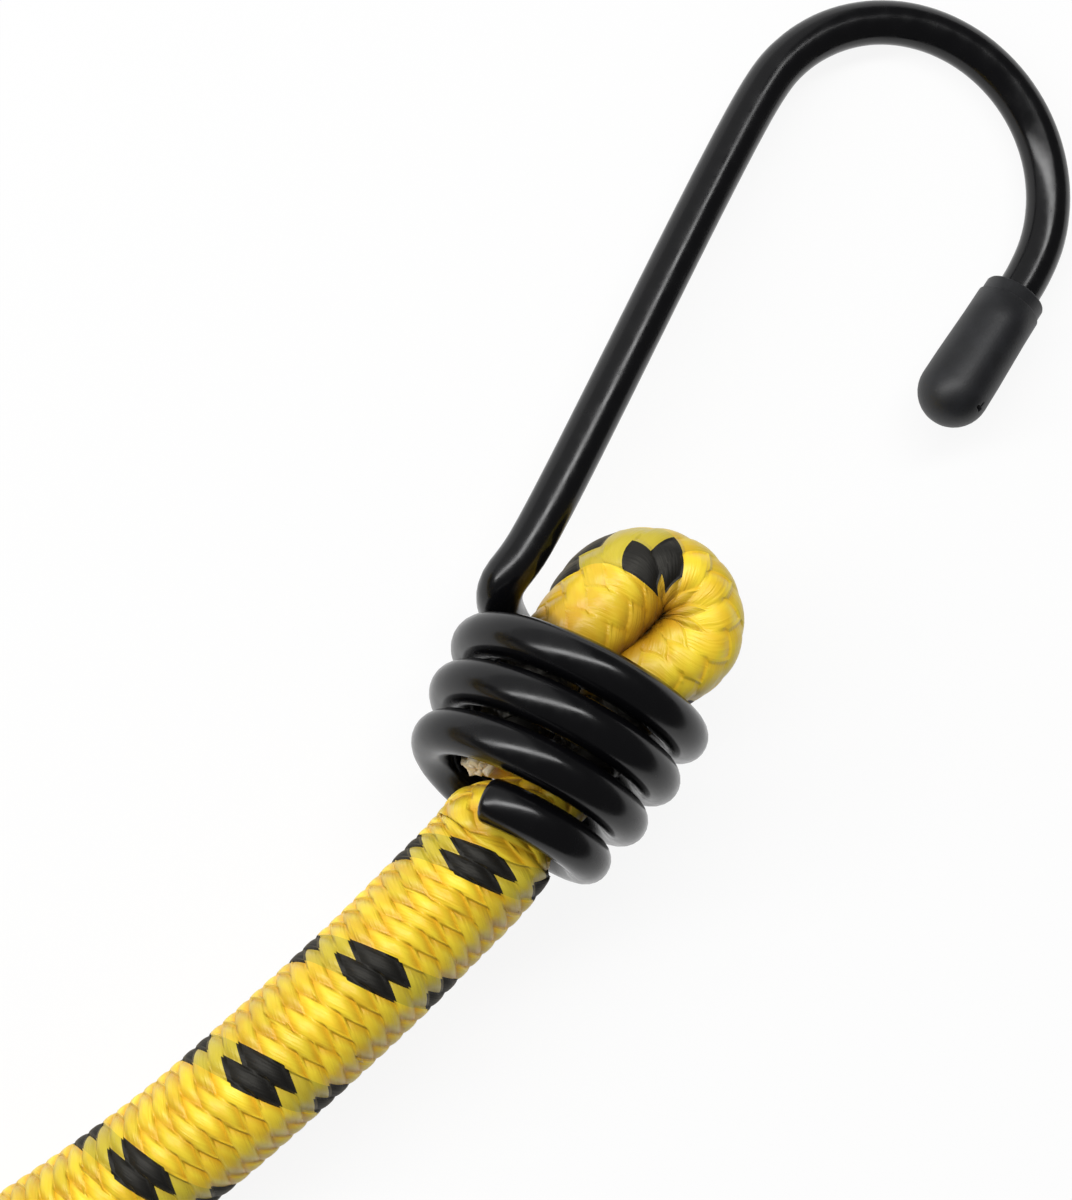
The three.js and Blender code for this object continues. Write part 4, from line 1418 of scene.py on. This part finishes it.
@dataclass
class CoilStrap:
    """The tape round both turns of the coil, its end lapped over its top."""

    TAPE_MAP = "tape_map"

    layout: Layout
    width: float = 9.0
    lap: float = 9.0
    corner_share: float = 0.86
    side_room: float = 0.8
    edge_round: float = 0.18
    step: float = 0.6
    corner_steps: int = 6
    flat_shares: tuple[float, ...] = (-0.4, -0.15, 0.15, 0.4)
    lap_foot: tuple[float, float] = (0.62, 0.25)
    lap_rise: tuple[float, float] = (0.42, 1.02)

    def path(self) -> list[list[float]]:
        """Returns the tape's middle line round the turns, in its own plane, from under the lap to over it."""
        thick = self.layout.strap_thick
        half_height = CORD_D / 2 + SEAT_GAP / 2 + thick / 2
        half_width = self.layout.coil_spacing / 2 + CORD_D / 2 + self.side_room + thick / 2
        corner = half_height * self.corner_share
        points = [[self.lap / 2, half_height, 0.0], [0.0, half_height, 0.0]]
        for x_sign, y_sign, start in ((-1, 1, 90), (-1, -1, 180), (1, -1, 270), (1, 1, 0)):
            if start == 270:
                points += [[share * half_width, -half_height, 0.0] for share in self.flat_shares]
            for step in range(self.corner_steps + 1):
                x, y = on_circle(start + 90 * step / self.corner_steps, corner)
                x, y = x + x_sign * (half_width - corner), y + y_sign * (half_height - corner)
                points.append([x, y, 0.0])
        over = self.lap_rise[1]
        for lap_share, thick_share in (self.lap_foot, self.lap_rise, (0.0, over), (-0.5, over)):
            points.append([self.lap * lap_share, half_height + thick * thick_share, 0.0])
        return points

    def build(self) -> Object:
        """Builds the strap."""
        thick, width = self.layout.strap_thick, self.width
        line = Line(self.path(), (0, 0, 1))
        count = round(line.length / self.step)
        reaches = [line.length * i / count for i in range(count + 1)]
        corners = [(width / 2, thick / 2 - self.edge_round), (width / 2 - self.edge_round, thick / 2)]
        corners += [(-x, y) for x, y in reversed(corners)]
        corners += [(-x, -y) for x, y in corners]
        bm = bmesh.new()
        sweep(bm, corners, line.frames(reaches, lambda reach: 1.0))
        tape_map = bm.loops.layers.uv.new(self.TAPE_MAP)
        for face in bm.faces:
            for loop in face.loops:
                place = np.array(loop.vert.co) / MM
                nearest = int(np.argmin(np.linalg.norm(line.places - [place[0], place[1], 0.0], axis=1)))
                loop[tape_map].uv = (line.reach[nearest], place[2])
        layout = self.layout
        middle = (layout.coil_point(layout.strap_at_deg) + layout.coil_point(layout.strap_at_deg + 360)) / 2
        spoke = Vector((*on_circle(-layout.strap_at_deg), 0))
        up = Vector((0, 0, 1))
        turn = Matrix((spoke, up, spoke.cross(up))).transposed().to_4x4()
        height = CORD_D / 2 + SEAT_GAP / 2 + thick
        place = Matrix.Translation(Vector((middle.x, middle.y, height)) * MM)
        bmesh.ops.transform(bm, matrix=place @ turn, verts=bm.verts[:])
        made = piece_from(bm, "strap", WovenTape())
        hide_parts("coil_strap")
        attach(made, Body.STORED_CORD.value)
        return made


@dataclass
class HookEnd:
    """The hook, its cap and the threads of the cut tail at one end of the cord."""

    end: str
    lay: Matrix
    body: Body
    layout: Layout

    def build(self) -> None:
        """Builds the end's pieces and hands each to its body."""
        wire, cap = self.layout.wire, self.layout.cap
        hook = wire.build(f"{self.end}_hook_wire", self.lay)
        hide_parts(f"{self.end}_hook")
        tip = cap.build(f"{self.end}_cap", wire, self.lay)
        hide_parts(f"{self.end}_tip_cap")
        tail = RubberTail(self.layout.fold).build(f"{self.end}_core_threads", self.lay)
        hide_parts(f"{self.end}_fold_core")
        for piece in (hook, tip, tail):
            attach(piece, self.body.value)


# Studio


@dataclass(frozen=True)
class SoftBox:
    """A soft lamp, aimed at the near end of the cord.

    Its way leads from the cord to the lamp, in the camera's right, up and backward ways. Its lean says how
    far its width leans up to the right, as the camera sees it. Its width and height are in metres, and a
    radiance of 1 is white.
    """

    name: str
    way: tuple[float, float, float]
    lean_deg: float
    size: tuple[float, float]
    radiance: float


@dataclass
class Studio:
    """Camera, lamps and floor. The camera is placed from the near hook, as the photograph was framed."""

    lay: Matrix
    distance: float = 240.0
    pixels_per_mm: float = 16.556
    image_height: int = 1200
    roll_deg: float = 30.98
    tilt_deg: float = 16.51
    yaw_deg: float = 10.63
    centre_offset: tuple[float, float] = (-1.659, -12.712)
    sensor: float = 36.0
    clip_metres: float = 0.01
    lamps: tuple[SoftBox, ...] = (
        SoftBox("bar_softbox", (-0.2, 0.3, 0.92), 20.0, (1.05, 0.1), 11.2),
        SoftBox("large_softbox", (-0.5, 0.78, 0.45), 0.0, (0.9, 0.75), 0.45),
    )
    lamp_aim: float = 20.0
    lamp_metres: float = 0.5
    room_light: float = 0.12
    floor_metres: float = 3.0
    floor_gap: float = 0.03

    def view_axes(self) -> Matrix:
        """Returns the camera's right, up and backward ways, as rows, in the hook's frame."""
        (yaw_x, yaw_z), (flat, steep) = on_circle(self.yaw_deg), on_circle(self.tilt_deg)
        level, turned = on_circle(self.roll_deg)
        right, front, along = Vector((yaw_x, 0, yaw_z)), Vector((-yaw_z, 0, yaw_x)), Vector((0, 1, 0))
        up = along * flat + front * steep
        back = front * flat - along * steep
        return Matrix((right * level + up * turned, up * level - right * turned, back))

    def camera(self) -> Object:
        """Makes the scene's camera."""
        axes = self.view_axes()
        x, y = self.centre_offset
        place = axes.transposed() @ Vector((-x, -y, self.distance))
        data = bpy.data.cameras.new("photo_camera")
        data.sensor_fit = "VERTICAL"
        data.sensor_height = self.sensor
        data.lens = self.pixels_per_mm * self.distance / self.image_height * self.sensor
        data.clip_start = self.clip_metres
        made = scene_object("photo_camera", data)
        in_hook = Matrix.Translation(place * MM) @ axes.transposed().to_4x4()
        made.matrix_world = self.lay @ in_hook
        bpy.context.scene.camera = made
        return made

    def lamp(self, box: SoftBox) -> None:
        """Makes a soft box and aims it."""
        data = bpy.data.lights.new(box.name, "AREA")
        data.shape = "RECTANGLE"
        data.size, data.size_y = box.size
        data.energy = math.pi * data.size * data.size_y * box.radiance
        made = scene_object(box.name, data)
        back = Vector(box.way).normalized()
        width = Vector((*on_circle(box.lean_deg), 0))
        width = (width - back * width.dot(back)).normalized()
        seen = Matrix((width, back.cross(width), back)).transposed().to_4x4()
        camera_turn = (self.lay.to_3x3() @ self.view_axes().transposed()).to_4x4()
        target = Matrix.Translation(self.lay @ (Vector((0, self.lamp_aim, 0)) * MM))
        made.matrix_world = target @ camera_turn @ Matrix.Translation(back * self.lamp_metres) @ seen

    def build(self) -> None:
        """Lights the object and lays the floor under it."""
        self.camera()
        for box in self.lamps:
            self.lamp(box)
        world = bpy.data.worlds.new("studio_world")
        world.use_nodes = True
        tree = world.node_tree
        tree.nodes.clear()
        rays = add_node(tree, "ShaderNodeLightPath")
        dim, white = (
            add_node(tree, "ShaderNodeBackground", {"Color": (1, 1, 1, 1), "Strength": strength})
            for strength in (self.room_light, 1.0)
        )
        mixed = add_node(tree, "ShaderNodeMixShader", {0: rays.outputs["Is Camera Ray"], 1: dim, 2: white})
        add_node(tree, "ShaderNodeOutputWorld", {"Surface": mixed})
        bpy.context.scene.world = world
        bm = bmesh.new()
        bmesh.ops.create_grid(bm, x_segments=1, y_segments=1, size=self.floor_metres)
        bmesh.ops.translate(bm, vec=(0, 0, -self.floor_gap * MM), verts=bm.verts[:])
        floor = mesh_object(bm, "studio_floor", StudioPaper())
        bpy.context.scene.view_settings.view_transform = "Standard"


def main() -> None:
    """Builds the camera and the cords first, then the ends and the strap."""
    logging.basicConfig(level=logging.INFO, format="%(name)s: %(message)s")
    layout = Layout()
    near_lay, far_lay = layout.near_lay(), layout.far_lay()
    Studio(near_lay).build()
    FreeCord(layout).build()
    HookEnd("near", near_lay, Body.HOOK_END, layout).build()
    HookEnd("far", far_lay, Body.STORED_CORD, layout).build()
    CoilStrap(layout).build()


if __name__ == "__main__":
    main()
